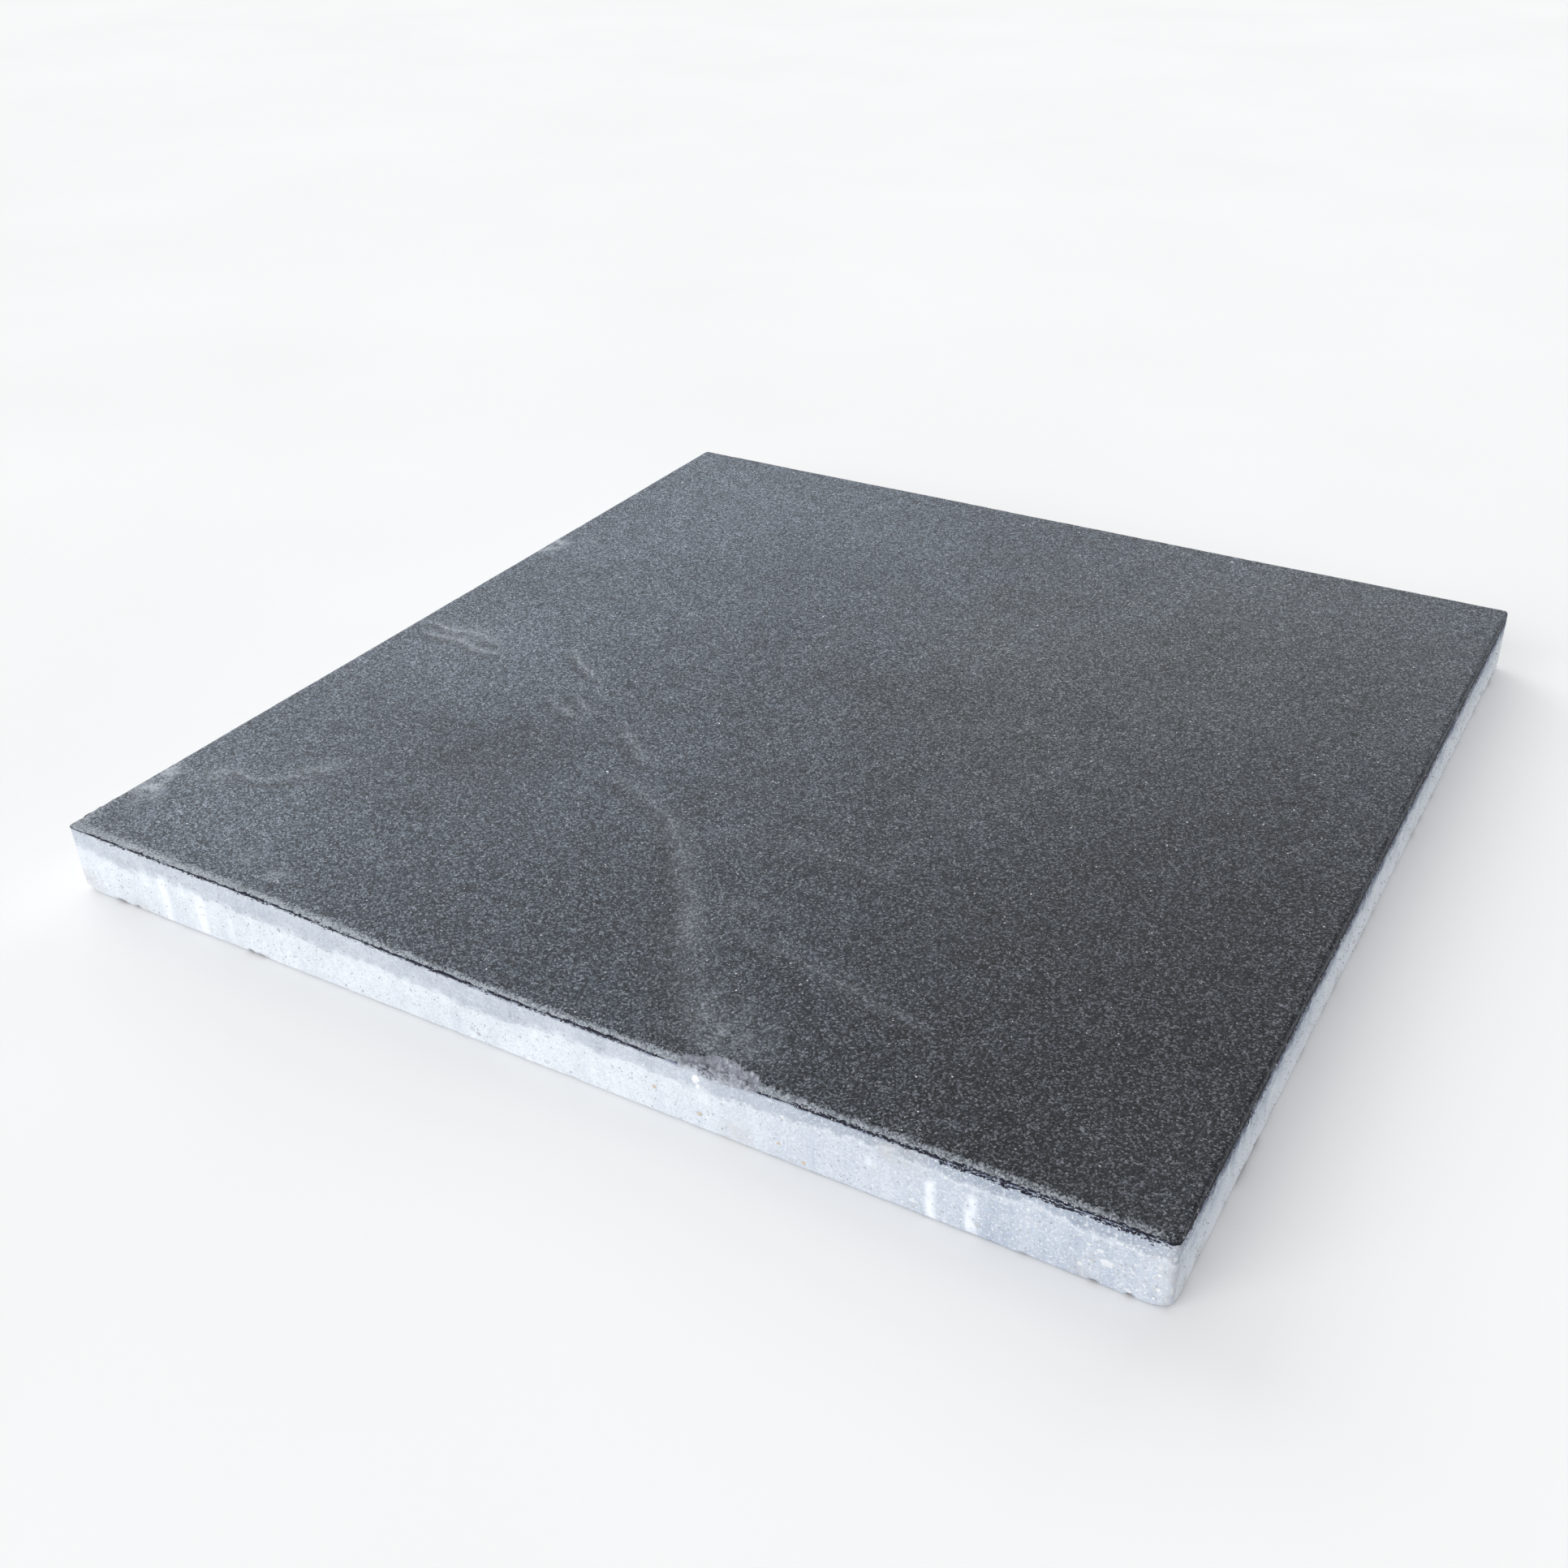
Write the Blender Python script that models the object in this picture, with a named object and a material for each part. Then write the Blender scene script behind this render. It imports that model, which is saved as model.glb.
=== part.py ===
"""A square two-course slab, 600 x 600 x 40 mm, made of four bonded layers.

Metres, +Z up. The origin is at the centre of the underside. The front edge, at -Y, is the
worn one: the dark face dips along the middle of it, and a chip is broken out of its arris.
"""

import math

import bmesh
import bpy

# Overall size
SIDE = 0.600
THICKNESS = 0.040

# The layers, from the top down, as they measure at an unworn edge
FACE_THICKNESS = 0.0022
BOND_THICKNESS = 0.0007
FACING_THICKNESS = 0.0108
LAYER_GAP = 0.0003

# Rounded and bevelled edges
PLAN_CORNER_RADIUS = 0.0025
PLAN_CORNER_SEGMENTS = 3
ARRIS_RADIUS = 0.0018
ARRIS_SEGMENTS = 3
UNDERSIDE_RADIUS = 0.0018
UNDERSIDE_SEGMENTS = 2

# The shallow dip along the middle of the front edge
DIP_DEPTH = 0.0026
DIP_CENTRE_X = 0.005
DIP_HALF_LENGTH = 0.230
DIP_REACH = 0.110

# The wavy line between the two concrete courses, which falls further below the dip
COURSE_SAG = 0.0050
WAVE_HEIGHT = 0.0009
WAVE_LENGTH_X = 0.170
WAVE_LENGTH_Y = 0.210

# The chip is a scoop whose centre lies just outside the front arris
CHIP_CENTRE_X = 0.097
CHIP_OUTSET = 0.0065
CHIP_RISE = 0.0040
CHIP_RADII = (0.033, 0.0145, 0.0160)
CHIP_SUBDIVISIONS = 3
CHIP_RIPPLE = 0.05

# Each layer is a grid of this many cells along a side
CELLS = 16

# The face of a layer counts as level, or as upright, within this much of its normal
LEVEL = 0.5


def smooth_fade(share):
    """1 where share is 0, falling smoothly to 0 where share is 1 or more."""
    rest = max(0.0, 1.0 - share)
    return rest * rest * (3.0 - 2.0 * rest)


def dip_share(x, y):
    """How much of the front edge's dip is felt at a place, from 0 to 1."""
    along = abs(x - DIP_CENTRE_X) / DIP_HALF_LENGTH
    inward = (y + SIDE / 2) / DIP_REACH
    return smooth_fade(along) * smooth_fade(inward)


def face_top(x, y):
    return THICKNESS - DIP_DEPTH * dip_share(x, y)


def face_underside(x, y):
    return face_top(x, y) - FACE_THICKNESS


def bond_top(x, y):
    return face_underside(x, y) - LAYER_GAP


def bond_underside(x, y):
    return bond_top(x, y) - BOND_THICKNESS


def facing_top(x, y):
    return bond_underside(x, y) - LAYER_GAP


def facing_underside(x, y):
    level = THICKNESS - FACE_THICKNESS - BOND_THICKNESS - 2 * LAYER_GAP - FACING_THICKNESS
    wave_x = math.sin(2 * math.pi * x / WAVE_LENGTH_X)
    wave_y = math.sin(2 * math.pi * y / WAVE_LENGTH_Y)
    return level - COURSE_SAG * dip_share(x, y) + WAVE_HEIGHT * (wave_x + wave_y)


def backing_top(x, y):
    return facing_underside(x, y) - LAYER_GAP


def backing_underside(x, y):
    return 0.0


def surface_points(mesh, height, bed):
    """A square grid of vertices at a surface's height, above the layer's bed."""
    step = SIDE / CELLS
    places = [index * step - SIDE / 2 for index in range(CELLS + 1)]
    return [[mesh.verts.new((x, y, height(x, y) - bed)) for x in places] for y in places]


def rim(points):
    """The grid's outer vertices, counter-clockwise seen from above."""
    last = CELLS
    front = [points[0][column] for column in range(last)]
    right = [points[row][last] for row in range(last)]
    back = [points[last][column] for column in range(last, 0, -1)]
    left = [points[row][0] for row in range(last, 0, -1)]
    return front + right + back + left


def layer_block(mesh, top, underside, bed):
    """A closed square block between two height functions."""
    upper = surface_points(mesh, top, bed)
    lower = surface_points(mesh, underside, bed)
    for row in range(CELLS):
        for column in range(CELLS):
            for points, turned in ((upper, False), (lower, True)):
                corners = [
                    points[row][column],
                    points[row][column + 1],
                    points[row + 1][column + 1],
                    points[row + 1][column],
                ]
                if turned:
                    corners.reverse()
                mesh.faces.new(corners)
    upper_rim = rim(upper)
    lower_rim = rim(lower)
    for index, start in enumerate(lower_rim):
        following = (index + 1) % len(lower_rim)
        mesh.faces.new((start, lower_rim[following], upper_rim[following], upper_rim[index]))
    mesh.normal_update()


def upright_corner_edges(mesh):
    """The four vertical edges at the corners of the plan."""
    found = []
    for edge in mesh.edges:
        first, second = (face.normal for face in edge.link_faces)
        if abs(first.z) < LEVEL and abs(second.z) < LEVEL and abs(first.dot(second)) < LEVEL:
            found.append(edge)
    return found


def rim_edges(mesh, direction):
    """The edges between the sides and the top (direction 1) or the underside (-1)."""
    found = []
    for edge in mesh.edges:
        tilts = sorted(face.normal.z * direction for face in edge.link_faces)
        if abs(tilts[0]) < LEVEL < tilts[1]:
            found.append(edge)
    return found


def round_edges(mesh, edges, radius, segments):
    bmesh.ops.bevel(
        mesh,
        geom=edges,
        offset=radius,
        offset_type="OFFSET",
        segments=segments,
        profile=0.5,
        affect="EDGES",
        clamp_overlap=True,
    )
    mesh.normal_update()


def principled(name, colour, roughness):
    material = bpy.data.materials.new(name)
    material.use_nodes = True
    shader = material.node_tree.nodes["Principled BSDF"]
    shader.inputs["Base Color"].default_value = (*colour, 1.0)
    shader.inputs["Roughness"].default_value = roughness
    shader.inputs["Metallic"].default_value = 0.0
    material.diffuse_color = (*colour, 1.0)
    return material


def add_object(name, mesh, material, parent):
    data = bpy.data.meshes.new(name)
    mesh.to_mesh(data)
    mesh.free()
    data.materials.append(material)
    data.shade_smooth()
    data.set_sharp_from_angle(angle=math.radians(25))
    thing = bpy.data.objects.new(name, data)
    bpy.context.scene.collection.objects.link(thing)
    thing.parent = parent
    return thing


def add_layer(name, top, underside, material, parent):
    """One layer of the slab, placed by the height of its own lowest corner."""
    bed = underside(-SIDE / 2, SIDE / 2)
    mesh = bmesh.new()
    layer_block(mesh, top, underside, bed)
    round_edges(mesh, upright_corner_edges(mesh), PLAN_CORNER_RADIUS, PLAN_CORNER_SEGMENTS)
    if top is face_top:
        round_edges(mesh, rim_edges(mesh, 1), ARRIS_RADIUS, ARRIS_SEGMENTS)
    if underside is backing_underside:
        round_edges(mesh, rim_edges(mesh, -1), UNDERSIDE_RADIUS, UNDERSIDE_SEGMENTS)
    layer = add_object(name, mesh, material, parent)
    layer.location.z = bed
    return layer


def add_chip_cutter(material, parent):
    """The scoop that broke out of the front arris, as a cutter that isn't part of the slab."""
    mesh = bmesh.new()
    bmesh.ops.create_icosphere(mesh, subdivisions=CHIP_SUBDIVISIONS, radius=1.0)
    for vertex in mesh.verts:
        ripple = 1.0 + CHIP_RIPPLE * math.sin(9.0 * vertex.co.x + 5.0 * vertex.co.y)
        vertex.co.x *= CHIP_RADII[0] * ripple
        vertex.co.y *= CHIP_RADII[1] * ripple
        vertex.co.z *= CHIP_RADII[2] * ripple
    cutter = add_object("chip_cutter", mesh, material, parent)
    arris_height = face_top(CHIP_CENTRE_X, -SIDE / 2)
    cutter.location = (CHIP_CENTRE_X, -SIDE / 2 - CHIP_OUTSET, arris_height + CHIP_RISE)
    cutter.hide_render = True
    cutter.display_type = "WIRE"
    return cutter


def cut_chip(layer, cutter):
    boolean = layer.modifiers.new("chip", "BOOLEAN")
    boolean.operation = "DIFFERENCE"
    boolean.object = cutter


def build():
    for thing in list(bpy.data.objects):
        bpy.data.objects.remove(thing, do_unlink=True)

    slab = bpy.data.objects.new("slab", None)
    bpy.context.scene.collection.objects.link(slab)

    dark_stone = principled("dark_stone", (0.085, 0.095, 0.110), 0.55)
    bond_black = principled("bond_black", (0.012, 0.013, 0.020), 0.60)
    grey_concrete = principled("grey_concrete", (0.50, 0.53, 0.58), 0.85)
    pale_concrete = principled("pale_concrete", (0.68, 0.71, 0.76), 0.90)

    face = add_layer("wearing_face", face_top, face_underside, dark_stone, slab)
    bond = add_layer("bond_coat", bond_top, bond_underside, bond_black, slab)
    facing = add_layer("facing_course", facing_top, facing_underside, grey_concrete, slab)
    add_layer("backing_course", backing_top, backing_underside, pale_concrete, slab)

    cutter = add_chip_cutter(grey_concrete, slab)
    for layer in (face, bond, facing):
        cut_chip(layer, cutter)


build()
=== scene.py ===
"""How the two-course slab looks: a worn, dark, fine-grained face on a pale cement body.

Everything is in metres, in the frame of the CAD model: +Z up, the origin at the centre of the
underside and the worn front edge at -Y. Distances round the slab run counter-clockwise seen
from above, from the front left corner: the front side is 0 to 0.6, the right side 0.6 to 1.2,
the back 1.2 to 1.8 and the left side 1.8 to 2.4.
"""

import itertools
import math
import random

import bmesh
import bpy
import numpy as np
from mathutils import Matrix, Vector
from mathutils.bvhtree import BVHTree


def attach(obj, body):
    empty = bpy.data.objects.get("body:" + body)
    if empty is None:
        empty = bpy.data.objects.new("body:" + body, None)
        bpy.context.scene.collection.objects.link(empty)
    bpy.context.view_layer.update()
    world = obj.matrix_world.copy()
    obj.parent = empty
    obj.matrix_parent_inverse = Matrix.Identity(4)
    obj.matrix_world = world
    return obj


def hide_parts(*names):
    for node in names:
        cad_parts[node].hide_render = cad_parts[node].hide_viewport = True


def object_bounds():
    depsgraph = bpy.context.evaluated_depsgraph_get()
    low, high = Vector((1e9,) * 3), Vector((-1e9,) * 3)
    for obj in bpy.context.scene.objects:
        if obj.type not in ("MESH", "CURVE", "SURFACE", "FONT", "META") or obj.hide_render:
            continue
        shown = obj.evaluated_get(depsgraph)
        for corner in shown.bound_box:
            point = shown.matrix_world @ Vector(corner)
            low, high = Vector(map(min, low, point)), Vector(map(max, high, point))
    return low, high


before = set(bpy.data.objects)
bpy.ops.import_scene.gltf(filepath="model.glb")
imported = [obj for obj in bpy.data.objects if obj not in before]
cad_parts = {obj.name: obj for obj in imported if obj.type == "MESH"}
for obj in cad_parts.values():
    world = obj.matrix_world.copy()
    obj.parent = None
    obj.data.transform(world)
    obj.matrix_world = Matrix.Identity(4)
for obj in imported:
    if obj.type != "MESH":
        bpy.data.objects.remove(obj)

CAD_LOW, CAD_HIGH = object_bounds()

MM = 0.001


def in_metres(rows):
    """A table's rows, with their sizes turned from millimetres into metres."""
    return [(distance, size * MM) for distance, size in rows]


# ------------------------------------------------------------------ sizes of the slab

SIDE = CAD_HIGH.x - CAD_LOW.x
HALF = SIDE / 2
TOP = CAD_HIGH.z
ROUND_TRIP = 4 * SIDE

CORNER_RADIUS = 2.5 * MM
CORNER_STEPS = 6
CORE = HALF - CORNER_RADIUS

FACE_CELLS = 284
COURSE_CELLS = 440
FILM_CELLS = 800
ARRIS_STEPS = 9
FACING_ROWS = 13
BACKING_ROWS = 22
UNDERSIDE_STEPS = 4
UNDERSIDE_RINGS = 18

# The dark face lies a little below the CAD model's top, which leaves room for its ripples
FACE_SETTLE = 0.35 * MM
DIP_DEPTH = 2.6 * MM
DIP_CENTRE_X = 5 * MM
DIP_HALF_LENGTH = 230 * MM
DIP_REACH = 110 * MM

# This far in from the sides the layers' hidden faces are level
INNER_INSET = 110 * MM
FACE_INNER_INSETS = (2 * MM, 12 * MM, 45 * MM, INNER_INSET)
INNER_FACE_DEPTH = 2.4 * MM
INNER_COURSE_DEPTH = 25 * MM / 1.9

SEAM_GAP = 0.06 * MM
FILM_TUCK = 0.15 * MM
COURSE_GAP = 0.02 * MM
UNDERSIDE_RADIUS = 2.0 * MM
SHARP_ANGLE = math.radians(52)

# (distance round the slab, millimetres below the top) of the black seam under the dark face
SEAM_DEPTHS = in_metres([
    (0.000, 0.9), (0.050, 1.3), (0.140, 2.2), (0.215, 4.7), (0.300, 6.0), (0.335, 5.8),
    (0.362, 6.4), (0.376, 6.2), (0.430, 5.2), (0.490, 4.6), (0.520, 3.7), (0.592, 3.4),
    (0.615, 4.2), (0.660, 6.0), (1.000, 6.4), (1.170, 5.4), (1.250, 3.4), (1.500, 2.8),
    (1.650, 3.3), (1.800, 2.7), (2.050, 3.1), (2.320, 2.4), (2.380, 1.3),
])

# (distance round the slab, millimetres below the top) of the line between the two courses
COURSE_DEPTHS = in_metres([
    (0.000, 12.2), (0.045, 13.8), (0.085, 14.2), (0.115, 16.8), (0.200, 17.4), (0.258, 19.6),
    (0.310, 17.6), (0.350, 16.2), (0.395, 17.6), (0.440, 13.4), (0.490, 11.6), (0.545, 11.4),
    (0.600, 14.0), (0.720, 12.0), (0.900, 16.5), (1.060, 13.0), (1.200, 15.0), (1.330, 12.5),
    (1.520, 17.0), (1.700, 13.5), (1.850, 15.5), (2.050, 12.0), (2.250, 16.0),
])

# (distance round the slab, share) of how rounded and worn pale the arris is
ARRIS_WEAR = [
    (0.000, 0.90), (0.200, 1.00), (0.400, 0.92), (0.470, 0.78), (0.592, 0.60), (0.604, 0.00),
    (1.190, 0.00), (1.300, 0.30), (1.700, 0.35), (1.900, 0.30), (2.200, 0.15), (2.370, 0.20),
    (2.395, 0.70),
]

# (distance round the slab, width in millimetres) of the pale band that wear has left on the face
WORN_BAND = in_metres([
    (0.000, 2.8), (0.060, 2.4), (0.160, 1.2), (0.260, 0.4), (0.600, 0.3), (1.200, 0.2),
    (2.300, 0.6),
])

# (distance round the slab, half its height in millimetres) of the black film in the seam
FILM_HALVES = in_metres([
    (0.000, 0.34), (0.120, 0.46), (0.250, 0.66), (0.420, 0.58), (0.470, 0.48), (0.590, 0.42),
    (0.612, 1.60), (0.900, 2.10), (1.180, 1.80), (1.250, 0.60), (2.300, 0.40),
])

# (distance round the slab, reach in millimetres) of the dark band below the seam: the film's
# smear on the front, and on the right side mostly painted shade over the top of the side
SMEAR_AND_SHADE_REACHES = in_metres([
    (0.000, 0.7), (0.180, 1.2), (0.250, 2.4), (0.595, 1.8), (0.615, 4.0), (0.650, 11.0),
    (1.180, 10.5), (1.250, 2.0), (2.350, 1.5),
])

# (distance round the slab, share) of how damp, grey and stony the cement looks
CEMENT_DAMP = [
    (0.000, 0.12), (0.200, 0.00), (0.380, 0.12), (0.440, 0.40), (0.500, 0.75), (0.590, 0.90),
    (0.640, 0.55), (0.900, 0.40), (1.180, 0.50), (1.400, 0.35), (1.800, 0.45), (2.100, 0.30),
    (2.390, 0.20),
]

UNDERSIDE_DAMP = 0.3

# The chip in the front arris
CHIP_CENTRE_X = 95.5 * MM
CHIP_HALF_LENGTH = 20 * MM
CHIP_INWARD = 9.0 * MM
CHIP_DOWNWARD = 8.5 * MM
CHIP_HOLLOW = 0.12
CHIP_BURIED_REACH = 40 * MM
RUBBLE_LUMPS = 210
RUBBLE_SPREAD = 3.4 * MM

# Low ripples in the dark face, where pale dust has gathered: height and half-width in
# millimetres, and the places that the ripple runs through
RIPPLES = [
    (0.56, 2.0, [(-298, -30), (-274, -32), (-259, -30), (-240, -33), (-228, -36)]),
    (0.58, 1.9, [(-284, -44), (-259, -42), (-240, -46), (-221, -44)]),
    (0.44, 2.2, [(-197, -24), (-185, -22), (-175, -30), (-163, -38), (-146, -43)]),
    (0.36, 2.2, [(-166, -74), (-151, -82), (-137, -88)]),
    (0.20, 2.4, [(-158, -62), (-142, -72), (-128, -84)]),
    (0.27, 3.0, [(-108, -79), (-96, -91), (-84, -99), (-77, -106), (-65, -110)]),
    (0.26, 3.4, [(-86, -126), (-72, -130), (-53, -136), (-41, -144), (-24, -154), (-9, -168)]),
    (0.28, 4.6, [(-24, -154), (-9, -168), (5, -188), (20, -204), (29, -219), (44, -238)]),
    (0.24, 6.5, [(20, -204), (29, -219), (44, -238), (58, -257), (72, -272), (92, -290)]),
    (0.18, 3.0, [(48, -216), (72, -218), (96, -222), (120, -228), (144, -234), (168, -237)]),
    (0.16, 3.4, [(34, -197), (53, -194), (68, -192)]),
    (0.34, 2.6, [(-283, -243), (-271, -224), (-259, -220), (-245, -220), (-235, -212), (-223, -195)]),
    (0.09, 3.6, [(-235, -212), (-223, -195), (-204, -171)]),
    (0.10, 5.0, [(-8, -152), (30, -142), (67, -139), (104, -144)]),
    (0.08, 5.0, [(34, -5), (70, 8), (106, 28)]),
]

# The rise, in millimetres, of a ripple whose dust and painted shadow are at full strength
FULL_RIPPLE = 0.42

# Each ripple has two thin crests that braid: how far the second sways, and how strong each is
CREST_HALF_WIDTH = 1.25 * MM
CREST_SWAY = 3.0 * MM
CREST_STRENGTHS = (0.50, 0.32)

# A crest's cross-section, from its shaded side round to the pale side and back underneath:
# place across in half-widths, height in millimetres, share of dust, which on the pale side is also
# a painted highlight, and share of painted shadow
CREST_SECTION = [
    (-1.00, -0.06, 0.0, 0.4), (-0.55, 0.02, 0.0, 1.0), (-0.15, 0.11, 0.7, 0.4),
    (0.20, 0.13, 1.0, 0.0), (0.60, 0.04, 0.5, 0.0), (1.00, -0.06, 0.0, 0.0),
    (0.40, -0.30, 0.0, 0.0), (-0.40, -0.30, 0.0, 0.0),
]

# Pale scuffs on the dark face: x, y and radius in millimetres, and strength
SCUFFS = [
    (-295, 108, 7, 2.00), (-297, 94, 6, 1.70), (-278, 119, 5, 0.90), (-297, -236, 7, 1.80),
    (-294, -252, 7, 1.80), (-286, -260, 8, 0.80), (-268, -228, 9, 0.45), (-194, -278, 5, 0.80),
    (-172, -283, 5, 0.70), (-226, -196, 10, 0.30), (92, -284, 17, 0.42), (70, -268, 14, 0.25),
    (-262, -36, 22, 0.25),
]

# Pale flecks in the dark face: x, y and half-length in millimetres, and how pale
FACE_FLECKS = [
    (245, -262, 3.2, 0.55), (259, -278, 1.0, 0.97), (47, 143, 1.2, 1.0), (123, 290, 1.4, 1.0),
    (-86, -126, 1.6, 1.0), (-77, 92, 1.0, 1.0), (210, -180, 0.9, 0.95),
]

# Broad patches of the dark face, partly random tone and partly painted shade, chiefly the large
# dark patches towards the front right: x, y and radius in millimetres, and how much lighter
TONE_AND_SHADE_PATCHES = [
    (-158, -140, 50, -0.60), (24, -96, 60, -0.30), (0, -236, 75, -0.30), (20, 14, 60, -0.22),
    (0, -50, 55, 0.22), (-215, -60, 70, 0.30), (-215, 190, 110, 0.28), (-60, -150, 60, 0.25),
    (-245, -255, 60, 0.22), (140, -190, 70, -0.18), (250, -80, 130, -0.78),
    (265, -265, 120, -0.95),
]

# Painted sheen and shade: the dark face is painted lighter at its left side and fades to its
# right side, the more so the nearer the front
PAINTED_SHEEN_AT_LEFT = 0.37
PAINTED_SHADE_FALL_AT_BACK = 0.42
PAINTED_SHADE_FALL_TO_FRONT = 0.80
PATCH_TONE_AND_SHADE = 0.75

# Where the dark face looks browner: x, y and radius in millimetres, and strength
WARM_AREAS = [
    (190, 190, 170, 0.8), (60, 60, 150, 0.5), (60, -60, 110, 0.2),
]

# White lime scrapes down the front side, in millimetres: x, half-width, highest and lowest
# height, and strength
SCRAPES = [
    (-237, 2.6, 29.0, 0.5, 1.00), (-212, 2.9, 27.0, 2.0, 0.90), (-223, 1.4, 31.0, 20.0, 0.40),
    (-250, 2.6, 33.0, 18.0, 0.30), (-192, 1.6, 20.0, 3.0, 0.55), (169, 1.4, 23.0, 17.0, 0.75),
    (197, 2.3, 22.5, 0.8, 1.00), (215, 2.4, 22.5, 1.5, 0.95), (88, 2.6, 21.0, 16.0, 0.60),
]

# Notches in the lower front edge: x, half-width and depth in millimetres
NOTCHES = [
    (-273, 3.6, 0.8), (-262, 1.6, 0.5), (-181, 1.5, 1.6), (-175, 3.4, 0.6), (268, 1.8, 0.8),
    (283, 1.3, 1.2), (238, 2.0, 0.4),
]

# ------------------------------------------------------------------ repeatable noise

HASH_FACTORS = (0x8DA6B343, 0xD8163841, 0xCB1AB31F)
HASH_MIXERS = (0x2C1B3C6D, 0x297A2D39)
SEED_FACTOR = 0x9E3779B9
WORD = 2**32
OCTAVE_SHIFT = 31.7


def lattice_values(cells, seed):
    """A repeatable value from -1 to 1 for each whole-numbered place of a 3D lattice."""
    mixed = np.full(len(cells), (seed * SEED_FACTOR) % WORD, np.uint32)
    whole = cells.astype(np.int64)
    for axis, factor in enumerate(HASH_FACTORS):
        mixed ^= ((whole[:, axis] * factor) % WORD).astype(np.uint32)
    for factor in HASH_MIXERS:
        mixed ^= mixed >> np.uint32(15)
        mixed *= np.uint32(factor)
    mixed ^= mixed >> np.uint32(13)
    return mixed / (WORD / 2) - 1


def noise(points, size, seed, octaves=1):
    """Smooth value noise, mostly within -1 and 1, whose lumps are this many millimetres wide."""
    total = np.zeros(len(points))
    strength = 1.0
    for octave in range(octaves):
        scaled = points / (size * MM) * 2**octave + OCTAVE_SHIFT * octave
        cells = np.floor(scaled)
        part = scaled - cells
        ease = part * part * part * (part * (part * 6 - 15) + 10)
        for corner in itertools.product((0, 1), repeat=3):
            shares = np.where(corner, ease, 1 - ease)
            total += strength * shares.prod(axis=1) * lattice_values(cells + corner, seed + octave)
        strength /= 2
    return total


def smooth_fade(share):
    """1 where share is 0 or less, falling smoothly to 0 where share is 1 or more."""
    rest = np.clip(1 - share, 0, 1)
    return rest * rest * (3 - 2 * rest)


def smooth_rise(value, low, high):
    """0 up to low, rising smoothly to 1 at high."""
    return 1 - smooth_fade((value - low) / (high - low))


# ------------------------------------------------------------------ columns and rings


class Columns:
    """The places round the slab where its side profile is repeated.

    base is where a column meets the level part of the slab, normal the way it looks, distance
    how far round the slab it is and edge its place on the side itself.
    """

    def __init__(self, x_places, y_places):
        bases = []
        normals = []
        distances = []
        runs = (x_places, y_places, -x_places[::-1], -y_places[::-1])
        for number, places in enumerate(runs):
            angle = number * math.pi / 2
            tangent = np.array((math.cos(angle), math.sin(angle))).round()
            normal = np.array((math.sin(angle), -math.cos(angle))).round()
            start = number * SIDE
            bases.append(places[:, None] * tangent + normal * CORE)
            normals.append(np.repeat(normal[None, :], len(places), axis=0))
            distances.append(start + HALF + places)
            for step in range(1, CORNER_STEPS):
                share = step / CORNER_STEPS
                turn = angle - math.pi / 2 + share * math.pi / 2
                bases.append((tangent * CORE + normal * CORE)[None, :])
                normals.append(np.array([[math.cos(turn), math.sin(turn)]]))
                distances.append(np.array([start + HALF + CORE + share * 2 * CORNER_RADIUS]))
        self.base = np.concatenate(bases)
        self.normal = np.concatenate(normals)
        self.distance = np.concatenate(distances) % ROUND_TRIP
        self.edge = self.base + self.normal * CORNER_RADIUS
        self.count = len(self.base)

    def ring(self, inset, height):
        """A closed ring of points this far in from the sides, at these heights."""
        inset = np.broadcast_to(inset, self.count)[:, None]
        near = self.base + self.normal * (CORNER_RADIUS - inset)
        far = self.base * (HALF - inset) / CORE
        flat = np.where(inset < CORNER_RADIUS, near, far)
        return np.column_stack((flat, np.broadcast_to(height, self.count)))

    def level(self, height):
        """The points of the sides at one height, where noise is read for a whole column."""
        return np.column_stack((self.edge, np.full(self.count, height)))


def graded_places(cells, density):
    """Places from one side of the core to the other, closer together where density is higher."""
    samples = np.linspace(-CORE, CORE, 4001)
    counts = np.concatenate(([0.0], np.cumsum(density(samples)[1:])))
    places = np.interp(np.linspace(0, counts[-1], cells + 1), counts, samples)
    return places


def near_sides(places):
    """Up to 2.4 times as dense within 45 mm of the sides, where the slab's edges are."""
    return 1 + smooth_fade((HALF - np.abs(places)) / (45 * MM)) * 1.4


def near_sides_and_chip(places):
    return near_sides(places) + smooth_fade(np.abs(places - CHIP_CENTRE_X) / (50 * MM)) * 1.6


def profile(distance, table, blur=9 * MM):
    """A table's value at each distance round the slab, with its kinks smoothed."""
    knots, values = zip(*table)
    reads = [
        np.interp(distance + shift, knots, values, period=ROUND_TRIP)
        for shift in (-blur, -blur / 2, 0, blur / 2, blur)
    ]
    return sum(reads) / len(reads)


def face_height(x, y):
    """The dark face's height before its ripples and roughness."""
    along = np.abs(x - DIP_CENTRE_X) / DIP_HALF_LENGTH
    inward = (y + HALF) / DIP_REACH
    return TOP - FACE_SETTLE - DIP_DEPTH * smooth_fade(along) * smooth_fade(inward)


def seam_height(columns):
    """The height of the black seam at each column."""
    sway = 0.22 * MM * noise(columns.level(0), 21, 11, 2)
    return TOP - profile(columns.distance, SEAM_DEPTHS) + sway


def course_height(columns):
    """The height of the lobed line between the two courses at each column."""
    level = columns.level(0)
    lobes = 1.4 * MM * noise(level, 19, 21) - 1.5 * MM * np.abs(noise(level, 9, 22, 3))
    jags = 0.8 * MM * noise(level, 3.6, 25, 2)
    return TOP - profile(columns.distance, COURSE_DEPTHS) + lobes + jags


# ------------------------------------------------------------------ meshes


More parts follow.
